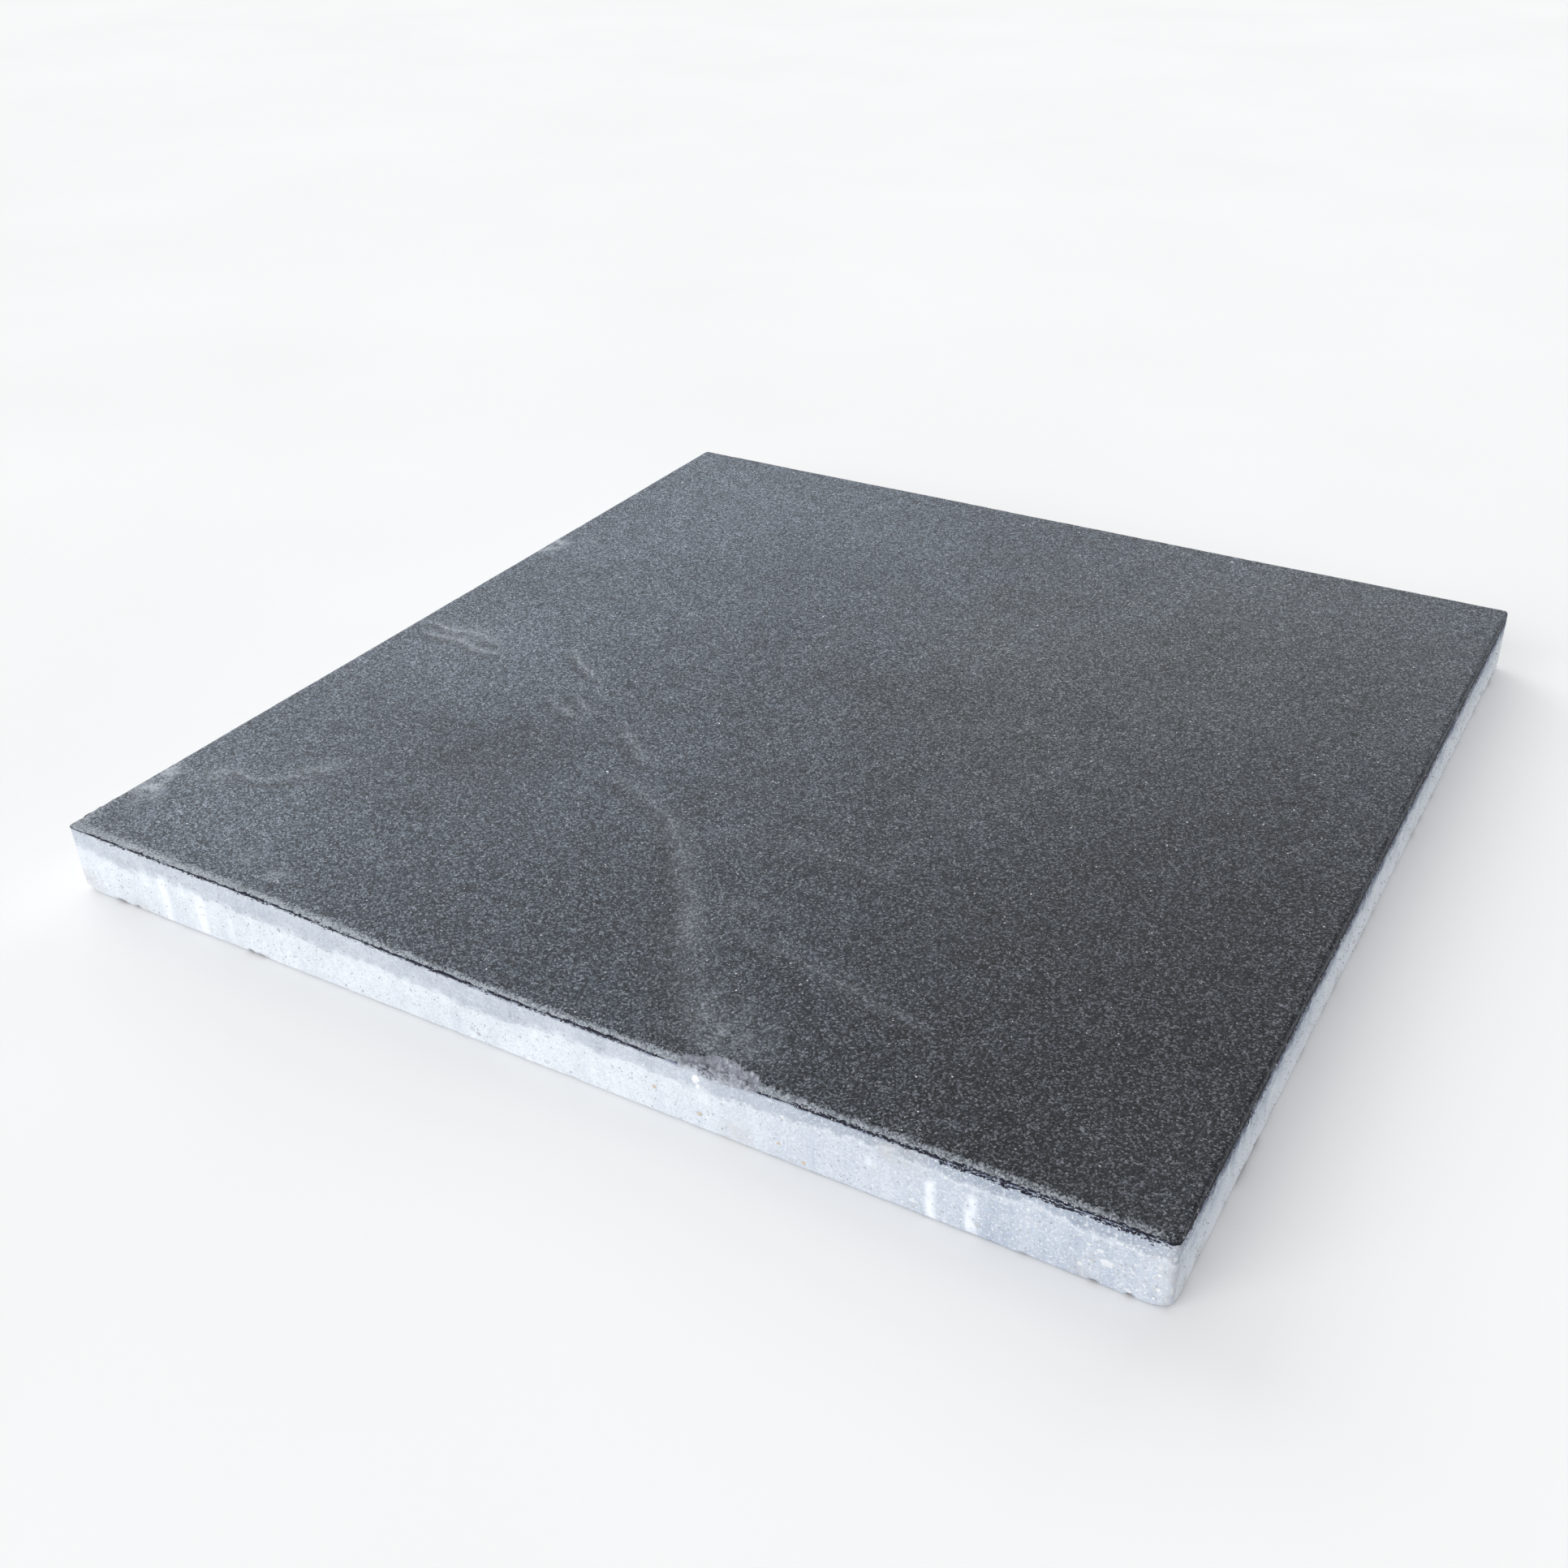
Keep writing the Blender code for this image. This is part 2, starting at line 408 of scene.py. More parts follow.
def grid(x_places, y_places, height):
    """(points, faces, buried) of a grid whose height is a function of x and y."""
    x, y = np.meshgrid(x_places, y_places)
    points = np.column_stack((x.ravel(), y.ravel(), height(x.ravel(), y.ravel())))
    across = len(x_places)
    first = (np.arange(len(y_places) - 1)[:, None] * across + np.arange(across - 1)).ravel()
    faces = np.column_stack((first, first + 1, first + across + 1, first + across))
    return points, faces.tolist(), np.zeros(len(points))


def loft(rings, shown):
    """(points, faces, buried) of the bands between each ring and the next.

    shown is the range of the rings that lie on the slab's outside; the rest are inside it.
    """
    count = len(rings[0])
    index = np.arange(count)
    following = np.roll(index, -1)
    faces = []
    for number in range(len(rings) - 1):
        lower = number * count
        upper = lower + count
        band = (lower + index, lower + following, upper + following, upper + index)
        faces.extend(np.column_stack(band).tolist())
    buried = np.repeat([float(number not in shown) for number in range(len(rings))], count)
    return np.concatenate(rings), faces, buried


def fan(ring):
    """(points, faces, buried) that close a ring towards the slab's middle."""
    centre = np.array([[0.0, 0.0, ring[:, 2].mean()]])
    count = len(ring)
    faces = [(index, (index + 1) % count, count) for index in range(count)]
    return np.concatenate((ring, centre)), faces, np.ones(count + 1)


def joined_mesh(name, parts, weld=0.003 * MM):
    """One mesh of several (points, faces, buried), joined where points are this close."""
    points = np.concatenate([part[0] for part in parts])
    faces = []
    first = 0
    for part_points, part_faces, _ in parts:
        faces.extend([[first + corner for corner in face] for face in part_faces])
        first += len(part_points)
    mesh = bpy.data.meshes.new(name)
    mesh.from_pydata(points.tolist(), [], faces)
    set_shares(mesh, {"buried": np.concatenate([part[2] for part in parts])})
    work = bmesh.new()
    work.from_mesh(mesh)
    bmesh.ops.remove_doubles(work, verts=work.verts, dist=weld)
    bmesh.ops.recalc_face_normals(work, faces=work.faces)
    work.to_mesh(mesh)
    work.free()
    return mesh


def layer_mesh(name, rings, shown):
    """The closed mesh of a layer, whose rings run from its middle round the side and back."""
    return joined_mesh(name, [loft(rings, shown), fan(rings[0]), fan(rings[-1])])


def mesh_points(mesh):
    points = np.empty(len(mesh.vertices) * 3)
    mesh.vertices.foreach_get("co", points)
    return points.reshape(-1, 3)


def mesh_share(mesh, name):
    values = np.empty(len(mesh.vertices), np.float32)
    mesh.attributes[name].data.foreach_get("value", values)
    return values


def set_points(mesh, points):
    mesh.vertices.foreach_set("co", points.ravel())
    mesh.update()


def set_shares(mesh, shares):
    """Stores each named share at the mesh's points, where the materials read it."""
    for name, values in shares.items():
        layer = mesh.attributes.new(name, "FLOAT", "POINT")
        layer.data.foreach_set("value", np.asarray(values, np.float32))


def put_in_scene(name, data):
    item = bpy.data.objects.new(name, data)
    bpy.context.scene.collection.objects.link(item)
    return item


def add_piece(mesh, material, node=None):
    """Puts a finished mesh in the scene as a piece of the slab."""
    mesh.materials.append(material)
    mesh.shade_smooth()
    mesh.set_sharp_from_angle(angle=SHARP_ANGLE)
    piece = put_in_scene(mesh.name, mesh)
    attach(piece, "root")
    if node:
        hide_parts(node)
    return piece


def add_shapes(work, name, material):
    """Puts finished bmesh shapes in the scene as a piece of the slab."""
    mesh = bpy.data.meshes.new(name)
    work.to_mesh(mesh)
    work.free()
    return add_piece(mesh, material)


def inset_of(points):
    """How far in from the nearest side each point is."""
    return HALF - np.abs(points[:, :2]).max(axis=1)


# ------------------------------------------------------------------ shared wear


def outward(points):
    """The way out of the slab's side at each point, 0 in the middle of the slab."""
    flat = points[:, :2]
    offset = flat - np.clip(flat, -CORE, CORE)
    return np.column_stack((offset / CORNER_RADIUS, np.zeros(len(points))))


def round_distance(points):
    """How far round the slab each point of the sides is."""
    x, y = points[:, 0], points[:, 1]
    reach = np.column_stack((-y, x, y, -x))
    side = reach.argmax(axis=1)
    along = np.choose(side, (x, y, -x, -y))
    return (side * SIDE + HALF + along) % ROUND_TRIP


def chip_share(points):
    """(how wide the chip is there, how far the point is above its hollow, from 0 to 1)."""
    x, y, z = points.T
    ragged = 0.20 * noise(points * (1, 0, 0), 7, 31, 3)
    along = np.abs(x - CHIP_CENTRE_X) / CHIP_HALF_LENGTH + ragged
    window = np.clip(1 - along**2, 0, 1) ** 0.75 + 1e-6
    below = np.maximum(face_height(x, y) - z, 0)
    inward = (y + HALF) / (CHIP_INWARD * window)
    return window, np.clip(1 - inward - below / (CHIP_DOWNWARD * window), 0, 1)


def chip_shift(points):
    """How far the chip's hollow pushes each point of the slab's outside."""
    window, share = chip_share(points)
    lumps = 1 + CHIP_HOLLOW + 0.34 * noise(points, 4.5, 33, 2) * smooth_rise(share, 0.05, 0.5)
    amount = share / 2 * lumps * window
    return np.column_stack((np.zeros(len(points)), CHIP_INWARD * amount, -CHIP_DOWNWARD * amount))


def worn_chip(points, buried):
    """The points with the chip's hollow pressed into the front arris.

    A buried point moves as the side in front of it does, so the layers stay behind each other.
    """
    facing = points.copy()
    facing[:, 1] = -HALF
    behind = smooth_fade((points[:, 1] + HALF) / CHIP_BURIED_REACH)
    inner = chip_shift(facing) * (behind * buried)[:, None]
    return points + inner + chip_shift(points) * (1 - buried)[:, None]


def arris_nearness(points, reach):
    """1 at the top arris, falling to 0 this far from it, along the face or down the side."""
    below = np.maximum(face_height(points[:, 0], points[:, 1]) - points[:, 2], 0)
    return smooth_fade(np.hypot(inset_of(points), below) / reach)


def nicked_arris(points):
    """The points with small nicks along the top arris."""
    nicks = np.clip(noise(points, 6, 35, 2) - 0.28, 0, 0.6)
    worn = profile(round_distance(points), ARRIS_WEAR)
    depth = 0.7 * MM * nicks * arris_nearness(points, 3.6 * MM) * worn
    moved = points - outward(points) * depth[:, None]
    moved[:, 2] -= depth
    return moved


def rough_sides(points):
    """The points with the cast cement's unevenness and pores on the sides."""
    lumps = 0.16 * MM * noise(points, 9, 41, 2) + 0.07 * MM * noise(points, 2.2, 43)
    pores = 0.45 * MM * smooth_rise(noise(points, 3.4, 45), 0.60, 0.85)
    return points + outward(points) * (lumps - pores)[:, None]


# ------------------------------------------------------------------ the dark face


def smooth_route(places, steps=5):
    """A Catmull-Rom curve through a route's places, in metres."""
    corners = np.array([places[0], *places, places[-1]], float) * MM
    found = []
    for before, start, end, after in zip(corners, corners[1:], corners[2:], corners[3:]):
        for step in range(steps):
            t = step / steps
            bend = (
                2 * start
                + (end - before) * t
                + (2 * before - 5 * start + 4 * end - after) * t**2
                + (3 * start - before - 3 * end + after) * t**3
            )
            found.append(bend / 2)
    found.append(corners[-1])
    return found


def route_offsets(flat, route):
    """Each place's signed distance from a route, and its share of the way along."""
    nearest = np.full(len(flat), np.inf)
    side = np.zeros(len(flat))
    share = np.zeros(len(flat))
    for index, (start, end) in enumerate(zip(route, route[1:])):
        step = end - start
        along = np.clip((flat - start) @ step / (step @ step), 0, 1)
        offset = flat - start - along[:, None] * step
        distance = np.hypot(offset[:, 0], offset[:, 1])
        closer = distance < nearest
        turn = step[0] * offset[:, 1] - step[1] * offset[:, 0]
        nearest[closer] = distance[closer]
        side[closer] = np.sign(turn)[closer]
        share[closer] = ((index + along) / (len(route) - 1))[closer]
    return nearest * side, share


def ripple_sway(points):
    """How far each point of the dark face is moved before its place on a ripple is read."""
    return 1.6 * MM * np.column_stack((noise(points, 11, 51, 2), noise(points, 11, 52, 2)))


def ripple_shapes(points):
    """(height, dust, painted shadow) that the ripples give each point of the dark face; the painted shadow
    darkens the trough beside each crest.
    """
    flat = points[:, :2] + ripple_sway(points)
    broken = np.clip(0.8 + 0.4 * noise(points, 13, 53) + 0.4 * noise(points, 4, 54), 0.35, 1.15)
    height = np.zeros(len(points))
    dust = np.zeros(len(points))
    shade = np.zeros(len(points))
    for rise, width, places in RIPPLES:
        width = width * MM
        route = smooth_route(places)
        low = np.min(route, axis=0) - 6 * width
        high = np.max(route, axis=0) + 6 * width
        near = np.all((flat > low) & (flat < high), axis=1)
        offset, share = route_offsets(flat[near], route)
        ends = np.clip(np.sin(np.pi * np.clip(share, 0.02, 0.98)) * 1.7, 0, 1)
        crest = np.exp(-((offset / width) ** 2)) * ends * broken[near]
        trough = np.exp(-(((offset + 1.9 * width) / (1.5 * width)) ** 2)) * ends
        height[near] += rise * MM * (crest - 0.35 * trough)
        halo = np.exp(-((offset / (2.6 * width)) ** 2)) * ends
        softness = min(1.0, 3.0 * MM / width)
        dust[near] += rise / FULL_RIPPLE * (0.42 * softness * crest + 0.17 * halo)
        # Painted shadow in the trough beside the crest
        shade[near] += rise / FULL_RIPPLE * trough
    return height, dust, shade


def patches(points, table):
    """The sum of soft round patches, each with its own strength, at each point."""
    sway = 0.35 * np.column_stack((noise(points, 25, 55, 2), noise(points, 25, 56, 2)))
    total = np.zeros(len(points))
    for x, y, radius, strength in table:
        offset = (points[:, :2] - np.array((x, y)) * MM) / (radius * MM) + sway
        total += strength * np.exp(-(offset**2).sum(axis=1))
    return total


def face_tone_with_painted_light(points, shade):
    """How light each place of the dark face is, as a share of its usual tone: random tone, painted sheen
    at the left, painted shade towards the front right and painted shadow beside the ripples.
    """
    across = points[:, 0] / SIDE + 0.5
    forward = 0.5 - points[:, 1] / SIDE
    # Painted sheen on the left, painted shade falling to the right and the front
    fall = across * (PAINTED_SHADE_FALL_AT_BACK + PAINTED_SHADE_FALL_TO_FRONT * forward)
    return np.exp(PAINTED_SHEEN_AT_LEFT - fall + PATCH_TONE_AND_SHADE * (patches(points, TONE_AND_SHADE_PATCHES) - 0.75 * shade))


def face_dust(points, ripple_dust):
    """How dusty the ripples, the scuffs and the years have left each place of the dark face."""
    dusty = np.clip(noise(points, 130, 69, 2) * 0.3, 0, 1)
    scuffs = patches(points, SCUFFS) * np.clip(0.8 + 0.9 * noise(points, 6, 70, 2), 0, 1.6)
    return np.clip(ripple_dust * 0.85 + scuffs + dusty * 0.2, 0, 2)


def arris_roundness(distance):
    """How round the arris is: 1 for a quarter circle, less for a sharper edge."""
    return 0.35 + 0.65 * profile(distance, ARRIS_WEAR)


def face_profile(columns):
    """The rings from the edge of the level face, over the arris and back under to the middle."""
    upper = face_height(columns.base[:, 0], columns.base[:, 1])
    seam = seam_height(columns)
    lip = seam + SEAM_GAP
    roundness = arris_roundness(columns.distance)
    rings = []
    for step in range(ARRIS_STEPS + 1):
        turn = step / ARRIS_STEPS * math.pi / 2
        fall = math.cos(turn) ** roundness if step < ARRIS_STEPS else 0.0
        inset = CORNER_RADIUS * (1 - math.sin(turn))
        rings.append(columns.ring(inset, lip + (upper - lip) * fall))
    inner = TOP - INNER_FACE_DEPTH
    for inset in FACE_INNER_INSETS:
        share = inset / INNER_INSET
        rings.append(columns.ring(inset, seam + (inner - seam) * share + SEAM_GAP * (1 - share)))
    return rings


def set_face_shares(mesh, points, dust, tone, wear, chip):
    """Stores the shares that the dark face's material reads."""
    warm = np.clip(patches(points, WARM_AREAS), 0, 1)
    set_shares(mesh, dict(dust=dust, tone=tone, warm=warm, wear=wear, chip=chip))


def make_face(material):
    x_places = graded_places(FACE_CELLS, near_sides_and_chip)
    y_places = graded_places(FACE_CELLS, near_sides)
    columns = Columns(x_places, y_places)
    rings = face_profile(columns)
    shown = range(len(rings) - len(FACE_INNER_INSETS))
    parts = [grid(x_places, y_places, face_height), loft(rings, shown), fan(rings[-1])]
    mesh = joined_mesh("wearing_face_stone", parts)
    points = mesh_points(mesh)
    buried = mesh_share(mesh, "buried")

    depth = face_height(points[:, 0], points[:, 1]) - points[:, 2]
    upper = smooth_fade(depth / (1.2 * MM)) * (1 - buried)
    inner = smooth_fade(depth / (0.4 * MM)) * (1 - buried)
    ripple, ripple_dust, ripple_painted_shadow = ripple_shapes(points)
    swell = 0.20 * MM * noise(points, 95, 61, 2)
    rough = 0.05 * MM * noise(points, 8, 63, 2) + 0.04 * MM * noise(points, 3, 65)
    wear_along = profile(round_distance(points), ARRIS_WEAR)
    band = profile(round_distance(points), WORN_BAND) * (1 + 0.5 * noise(points, 16, 67, 2))
    rim = smooth_rise(-inset_of(points), -2.6 * band - 2.2 * MM, -0.5 * band + 0.3 * MM) * wear_along
    chip = np.sqrt(chip_share(points)[1])
    dust = face_dust(points, ripple_dust) * inner
    # Tone with painted sheen and shade, and painted shadow beside the ripples
    tone = face_tone_with_painted_light(points, ripple_painted_shadow)
    set_face_shares(mesh, points, dust, tone, np.clip(rim, 0, 1), np.clip(chip * 2.2, 0, 1))
    points[:, 2] += ripple * inner + swell * upper + rough * upper
    set_points(mesh, worn_chip(nicked_arris(points), buried))
    return add_piece(mesh, material, "wearing_face")


def crest_path(places, strand):
    """(places, heights) of one of a ripple's thin crests, before the face's roughness."""
    route = np.array(smooth_route(places, 24))
    points = np.column_stack((route, face_height(route[:, 0], route[:, 1])))
    path = route - ripple_sway(points)
    away = np.column_stack((noise(points, 16, 57), noise(points, 16, 58)))
    return path + strand * CREST_SWAY * away


def crest_part(face_tree, path, strength):
    """((points, faces, buried), dust, painted shadow) of one thin crest that lies on the dark face; the
    dust on its pale side is also a painted highlight.
    """
    along = np.gradient(path, axis=0)
    along /= np.hypot(along[:, 0], along[:, 1])[:, None]
    across = np.column_stack((-along[:, 1], along[:, 0]))
    taper = np.clip(np.sin(np.linspace(0.02, 0.98, len(path)) * np.pi) * 2.2, 0, 1)
    down = Vector((0, 0, -1))
    rings = []
    dust = []
    shade = []
    for place, side, thin in zip(path, across, taper):
        ring = []
        for reach, rise, pale, dark in CREST_SECTION:
            x, y = place + side * (reach * CREST_HALF_WIDTH * (0.4 + 0.6 * thin))
            hit = face_tree.ray_cast(Vector((x, y, TOP + 10 * MM)), down)[0]
            height = rise * (strength * thin if rise > 0 else 1) * MM
            ring.append((x, y, hit.z + height))
            dust.append(pale * strength * thin)
            # Painted shadow on the crest's shaded side
            shade.append(dark * strength * thin)
        rings.append(np.array(ring))
    points, faces, buried = loft(rings, range(len(rings)))
    size = len(CREST_SECTION)
    faces.append(list(range(size)))
    faces.append(list(range(len(points) - size, len(points))))
    return (points, faces, buried), dust, shade


def make_crests(face, material):
    """The thin crests of the ripples, which are finer than the dark face's own grid."""
    corners = [tuple(polygon.vertices) for polygon in face.data.polygons]
    face_tree = BVHTree.FromPolygons(mesh_points(face.data).tolist(), corners)
    parts = []
    dust = []
    shade = []
    for rise, _, places in RIPPLES:
        for strand, strand_strength in enumerate(CREST_STRENGTHS):
            path = crest_path(places, strand)
            path = path[np.abs(path).max(axis=1) < HALF - 4 * MM]
            part, part_dust, part_shade = crest_part(face_tree, path, strand_strength * rise / FULL_RIPPLE)
            parts.append(part)
            dust.extend(part_dust)
            shade.extend(part_shade)
    mesh = joined_mesh("face_vein_crests", parts, weld=0.0)
    points = mesh_points(mesh)
    _, ripple_dust, ripple_painted_shadow = ripple_shapes(points)
    broken = np.clip(0.7 + 0.9 * noise(points, 12, 59) + 0.7 * noise(points, 3, 60), 0.0, 1.6)
    dust = face_dust(points, ripple_dust) + np.array(dust) * broken
    # Tone with painted sheen and shade, and painted shadow on the crests' shaded sides
    tone = face_tone_with_painted_light(points, ripple_painted_shadow + 0.5 * np.array(shade))
    none = np.zeros(len(points))
    set_face_shares(mesh, points, dust, tone, none, none)
    return add_piece(mesh, material)


# ------------------------------------------------------------------ the black bond


def film_bead(columns, middle, half, proud):
    """The rings of a bead standing this proud of the side, or lying inside it under 0."""
    rings = []
    for rise in (1.0, 0.8, 0.3, -0.3, -0.8, -1.0):
        bulge = proud * (1 - rise**4)
        rings.append(columns.ring(FILM_TUCK - bulge - FILM_TUCK * (rise**4 < 0.5), middle + half * rise))
    return rings


def make_film(material):
    places = graded_places(FILM_CELLS, near_sides)
    columns = Columns(places, places)
    level = columns.level(0)
    seam = seam_height(columns)
    braided = smooth_rise(columns.distance, 430 * MM, 470 * MM) * (columns.distance < SIDE)
    beside_chip = (np.abs(columns.edge[:, 0] - CHIP_CENTRE_X) - 17 * MM) / (4 * MM)
    in_chip = smooth_fade(beside_chip) * (columns.edge[:, 1] < -CORE)
    ragged = noise(level, 2.2, 71, 2)
    middle = seam + 0.30 * MM * noise(level, 4, 73, 3)
    half = profile(columns.distance, FILM_HALVES) * (0.9 + 0.60 * ragged + 0.3 * noise(level, 12, 75))
    broken = noise(level, 8, 77, 2) + 0.40 * braided * (1 + noise(level, 3, 79))
    gaps = np.maximum(smooth_rise(broken, 0.45, 0.70) * (0.55 + 0.45 * braided), in_chip)
    half = np.clip(half * (1 - gaps), 0.04 * MM, 2.2 * MM)
    inner = TOP - INNER_FACE_DEPTH

    rings = [
        columns.ring(INNER_INSET, inner - 0.1 * MM),
        columns.ring(5 * MM, seam + 0.03 * MM),
        *film_bead(columns, middle, half, 0.22 * MM - 0.9 * MM * gaps),
        columns.ring(5 * MM, seam - 0.03 * MM),
        columns.ring(INNER_INSET, inner - 0.5 * MM),
    ]
    mesh = layer_mesh("bond_coat_film", rings, range(2, len(rings) - 2))
    set_points(mesh, worn_chip(mesh_points(mesh), mesh_share(mesh, "buried")))
    return add_piece(mesh, material, "bond_coat")


# ------------------------------------------------------------------ the two cement courses


def cement_shares(points, border):
    """The named shares that the cement materials read, for points of the sides."""
    x, y, z = points.T
    along = round_distance(points)
    on_front = smooth_fade((y + HALF - 1.0 * MM) / (3 * MM))
    lime_and_painted_light = np.zeros(len(points))
    for centre, width, highest, lowest, strength in SCRAPES:
        bend = 0.9 * MM * noise(points * (0, 0, 1), 9, 81) * (centre > 0)
        across = np.exp(-(((x - centre * MM - bend) / (1.1 * width * MM)) ** 4))
        rise = smooth_rise(z, (lowest - 1.5) * MM, (lowest + 1.5) * MM)
        fall = smooth_fade((z - (highest - 4) * MM) / (6 * MM))
        lime_and_painted_light = np.maximum(lime_and_painted_light, strength * across * rise * fall * on_front)
    drips = noise(points * (1, 1, 0.12), 7, 83, 2)
    lime_and_painted_light = lime_and_painted_light * np.clip(0.95 + 0.5 * noise(points, 3, 85), 0, 1)
    cloud = noise(points * (1, 1, 0.5), 22, 87, 3)
    seam = TOP - profile(along, SEAM_DEPTHS)
    wisps = 0.40 * noise(points * (1, 1, 0.4), 3, 99, 2)
    chip = np.clip(chip_share(points)[1] * 3, 0, 1)
    # Film smear below the seam, and on the right side painted shade over the top of the side
    smear_and_painted_shade = smooth_fade((seam - z) / profile(along, SMEAR_AND_SHADE_REACHES) + wisps) * (1 - chip)
    damp_and_painted_shade = profile(along, CEMENT_DAMP, 25 * MM) + 0.16 * cloud + 0.10 * drips
    # Painted shade: away from the front the sides are painted greyer towards the top
    damp_and_painted_shade += (1 - on_front) * (0.82 * smooth_rise(z, 10 * MM, 34 * MM) + 0.35 * drips - 0.30)
    # Painted light: away from the front the sides are painted paler near their foot, in pale streaks
    painted_light_at_foot = smooth_fade(z / (24 * MM)) * np.clip(0.75 + 0.8 * drips, 0, 1)
    lime_and_painted_light = np.maximum(lime_and_painted_light, painted_light_at_foot * (1 - on_front))
    corner = smooth_fade((x + 292 * MM) / (12 * MM)) * smooth_fade((z - 9 * MM) / (9 * MM))
    stain = 0.6 * corner * on_front + 0.5 * smooth_rise(noise(points, 26, 89, 2), 0.35, 0.9)
    near_corner = smooth_fade((np.abs(x - HALF) + np.abs(y + HALF) - 2 * MM) / (4 * MM))
    stain = np.clip(stain + 0.6 * near_corner, 0, 1)

    # The underside is even
    beneath = smooth_rise(inset_of(points), 2 * MM, 9 * MM) * (z < 1 * MM)
    damp_and_painted_shade = np.clip(damp_and_painted_shade, 0, 1) * (1 - beneath) + UNDERSIDE_DAMP * beneath
    lime_and_painted_light = lime_and_painted_light * (1 - beneath)
    stain = stain * (1 - beneath)
    return dict(lime_and_painted_light=lime_and_painted_light, damp_and_painted_shade=damp_and_painted_shade, stain=stain, border=border, chip=chip, smear_and_painted_shade=smear_and_painted_shade)


def notched_edge(points):
    """(moved points, painted shade) with notches and worn corners in the lower edge; the deeper a notch,
    the darker its painted shade.
    """
    x, y, z = points.T
    low = smooth_fade(z / (4.5 * MM))
    lowest = smooth_fade(z / (3.0 * MM))
    front = smooth_fade((y + HALF) / (6 * MM))
    bite = np.zeros(len(points))
    for centre, width, depth in NOTCHES:
        shape = np.exp(-(((x - centre * MM) / (width * MM)) ** 2))
        bite = np.maximum(bite, depth * MM * shape * front)
    elsewhere = np.clip(noise(points, 11, 91, 2) - 0.5, 0, 1) * 2.0 * MM * (1 - front)
    edge = smooth_fade(inset_of(points) / (6 * MM))
    bite = np.maximum(bite, elsewhere * edge)
    corner_gap = np.hypot(HALF - np.abs(x), HALF - np.abs(y))
    corner = 1.8 * MM * smooth_fade(corner_gap / (9 * MM))
    inward = -outward(points)
    moved = points + inward * (bite * lowest + corner * low)[:, None]
    moved[:, 2] += bite * 0.7 * lowest + corner * 0.6 * low
    # Painted shade inside the notches, darker the deeper they bite
    return moved, np.clip(bite * lowest / (0.6 * MM), 0, 1)


def finish_course(mesh, columns, material, node):
    """Roughens a course, gives it its shares and puts it in the scene."""
    points = mesh_points(mesh)
    along = round_distance(points)
    order = np.argsort(columns.distance)
    heights = course_height(columns)[order]
    line = np.interp(along, columns.distance[order], heights, period=ROUND_TRIP)
    ripple = 1.8 * MM * noise(points, 6, 93, 3)
    border = smooth_fade(np.abs(points[:, 2] - line + ripple) / (2.6 * MM))
    shares = cement_shares(points, border)
    moved, notch_shade = notched_edge(points)
    # Painted shade in the notches
    shares["painted_notch_shade"] = notch_shade
    moved = worn_chip(rough_sides(moved), mesh_share(mesh, "buried"))
    set_shares(mesh, shares)
    set_points(mesh, moved)
    return add_piece(mesh, material, node)


def make_facing(material):
    places = graded_places(COURSE_CELLS, near_sides_and_chip)
    columns = Columns(places, places)
    upper = seam_height(columns) - SEAM_GAP
    lower = course_height(columns) + COURSE_GAP
    inner_top = TOP - INNER_FACE_DEPTH - 0.6 * MM
    inner_low = TOP - INNER_COURSE_DEPTH
    rings = [columns.ring(INNER_INSET, inner_top), columns.ring(3 * MM, upper)]
    for row in range(FACING_ROWS + 1):
        rings.append(columns.ring(0, upper + (lower - upper) * row / FACING_ROWS))
    rings.append(columns.ring(3 * MM, lower))
    rings.append(columns.ring(INNER_INSET, inner_low))
    mesh = layer_mesh("facing_course_concrete", rings, range(2, FACING_ROWS + 3))
    return finish_course(mesh, columns, material, "facing_course")


def make_backing(material):
    places = graded_places(COURSE_CELLS, near_sides)
    columns = Columns(places, places)
    upper = course_height(columns) - COURSE_GAP
    inner_top = TOP - INNER_COURSE_DEPTH - 0.1 * MM
    rings = [columns.ring(INNER_INSET, inner_top), columns.ring(3 * MM, upper)]
    for row in range(BACKING_ROWS + 1):
        share = row / BACKING_ROWS
        rings.append(columns.ring(0, upper + (UNDERSIDE_RADIUS - upper) * share))
    for step in range(1, UNDERSIDE_STEPS + 1):
        turn = step / UNDERSIDE_STEPS * math.pi / 2
        inset = UNDERSIDE_RADIUS * (1 - math.cos(turn))
        rings.append(columns.ring(inset, UNDERSIDE_RADIUS * (1 - math.sin(turn))))
    for inset in (4 * MM, 8 * MM, *np.linspace(16 * MM, HALF - 8 * MM, UNDERSIDE_RINGS)):
        rings.append(columns.ring(inset, 0.0))
    mesh = layer_mesh("backing_course_concrete", rings, range(2, len(rings)))
    points = mesh_points(mesh)
    under = points[:, 2] < 0.01 * MM
    trowel = 0.3 + 0.25 * noise(points, 90, 95)
    points[under, 2] += (trowel * MM * smooth_rise(inset_of(points), 3 * MM, 40 * MM))[under]
    set_points(mesh, points)
    return finish_course(mesh, columns, material, "backing_course")


# ------------------------------------------------------------------ small stones and grains

STONE_SEGMENTS = 9
STONE_RINGS = ((1.0, -0.5), (0.93, 0.35), (0.62, 0.9))

# Stones in the front side, in millimetres: x and height of their middle, then width and height
LARGE_PEBBLES = ((273, 13.5, 3.6, 2.3), (270, 19, 1.8, 1.2), (262, 8, 1.6, 1.2))
BROWN_PEBBLES = ((125, 10), (85, 9), (137, 4), (62, 15))
PEBBLE_COUNT = 330
PEBBLE_RADII = (0.45, 0.5, 0.6, 0.7, 0.8, 1.0, 1.3)
CORNER_CLEARANCE = 5 * MM

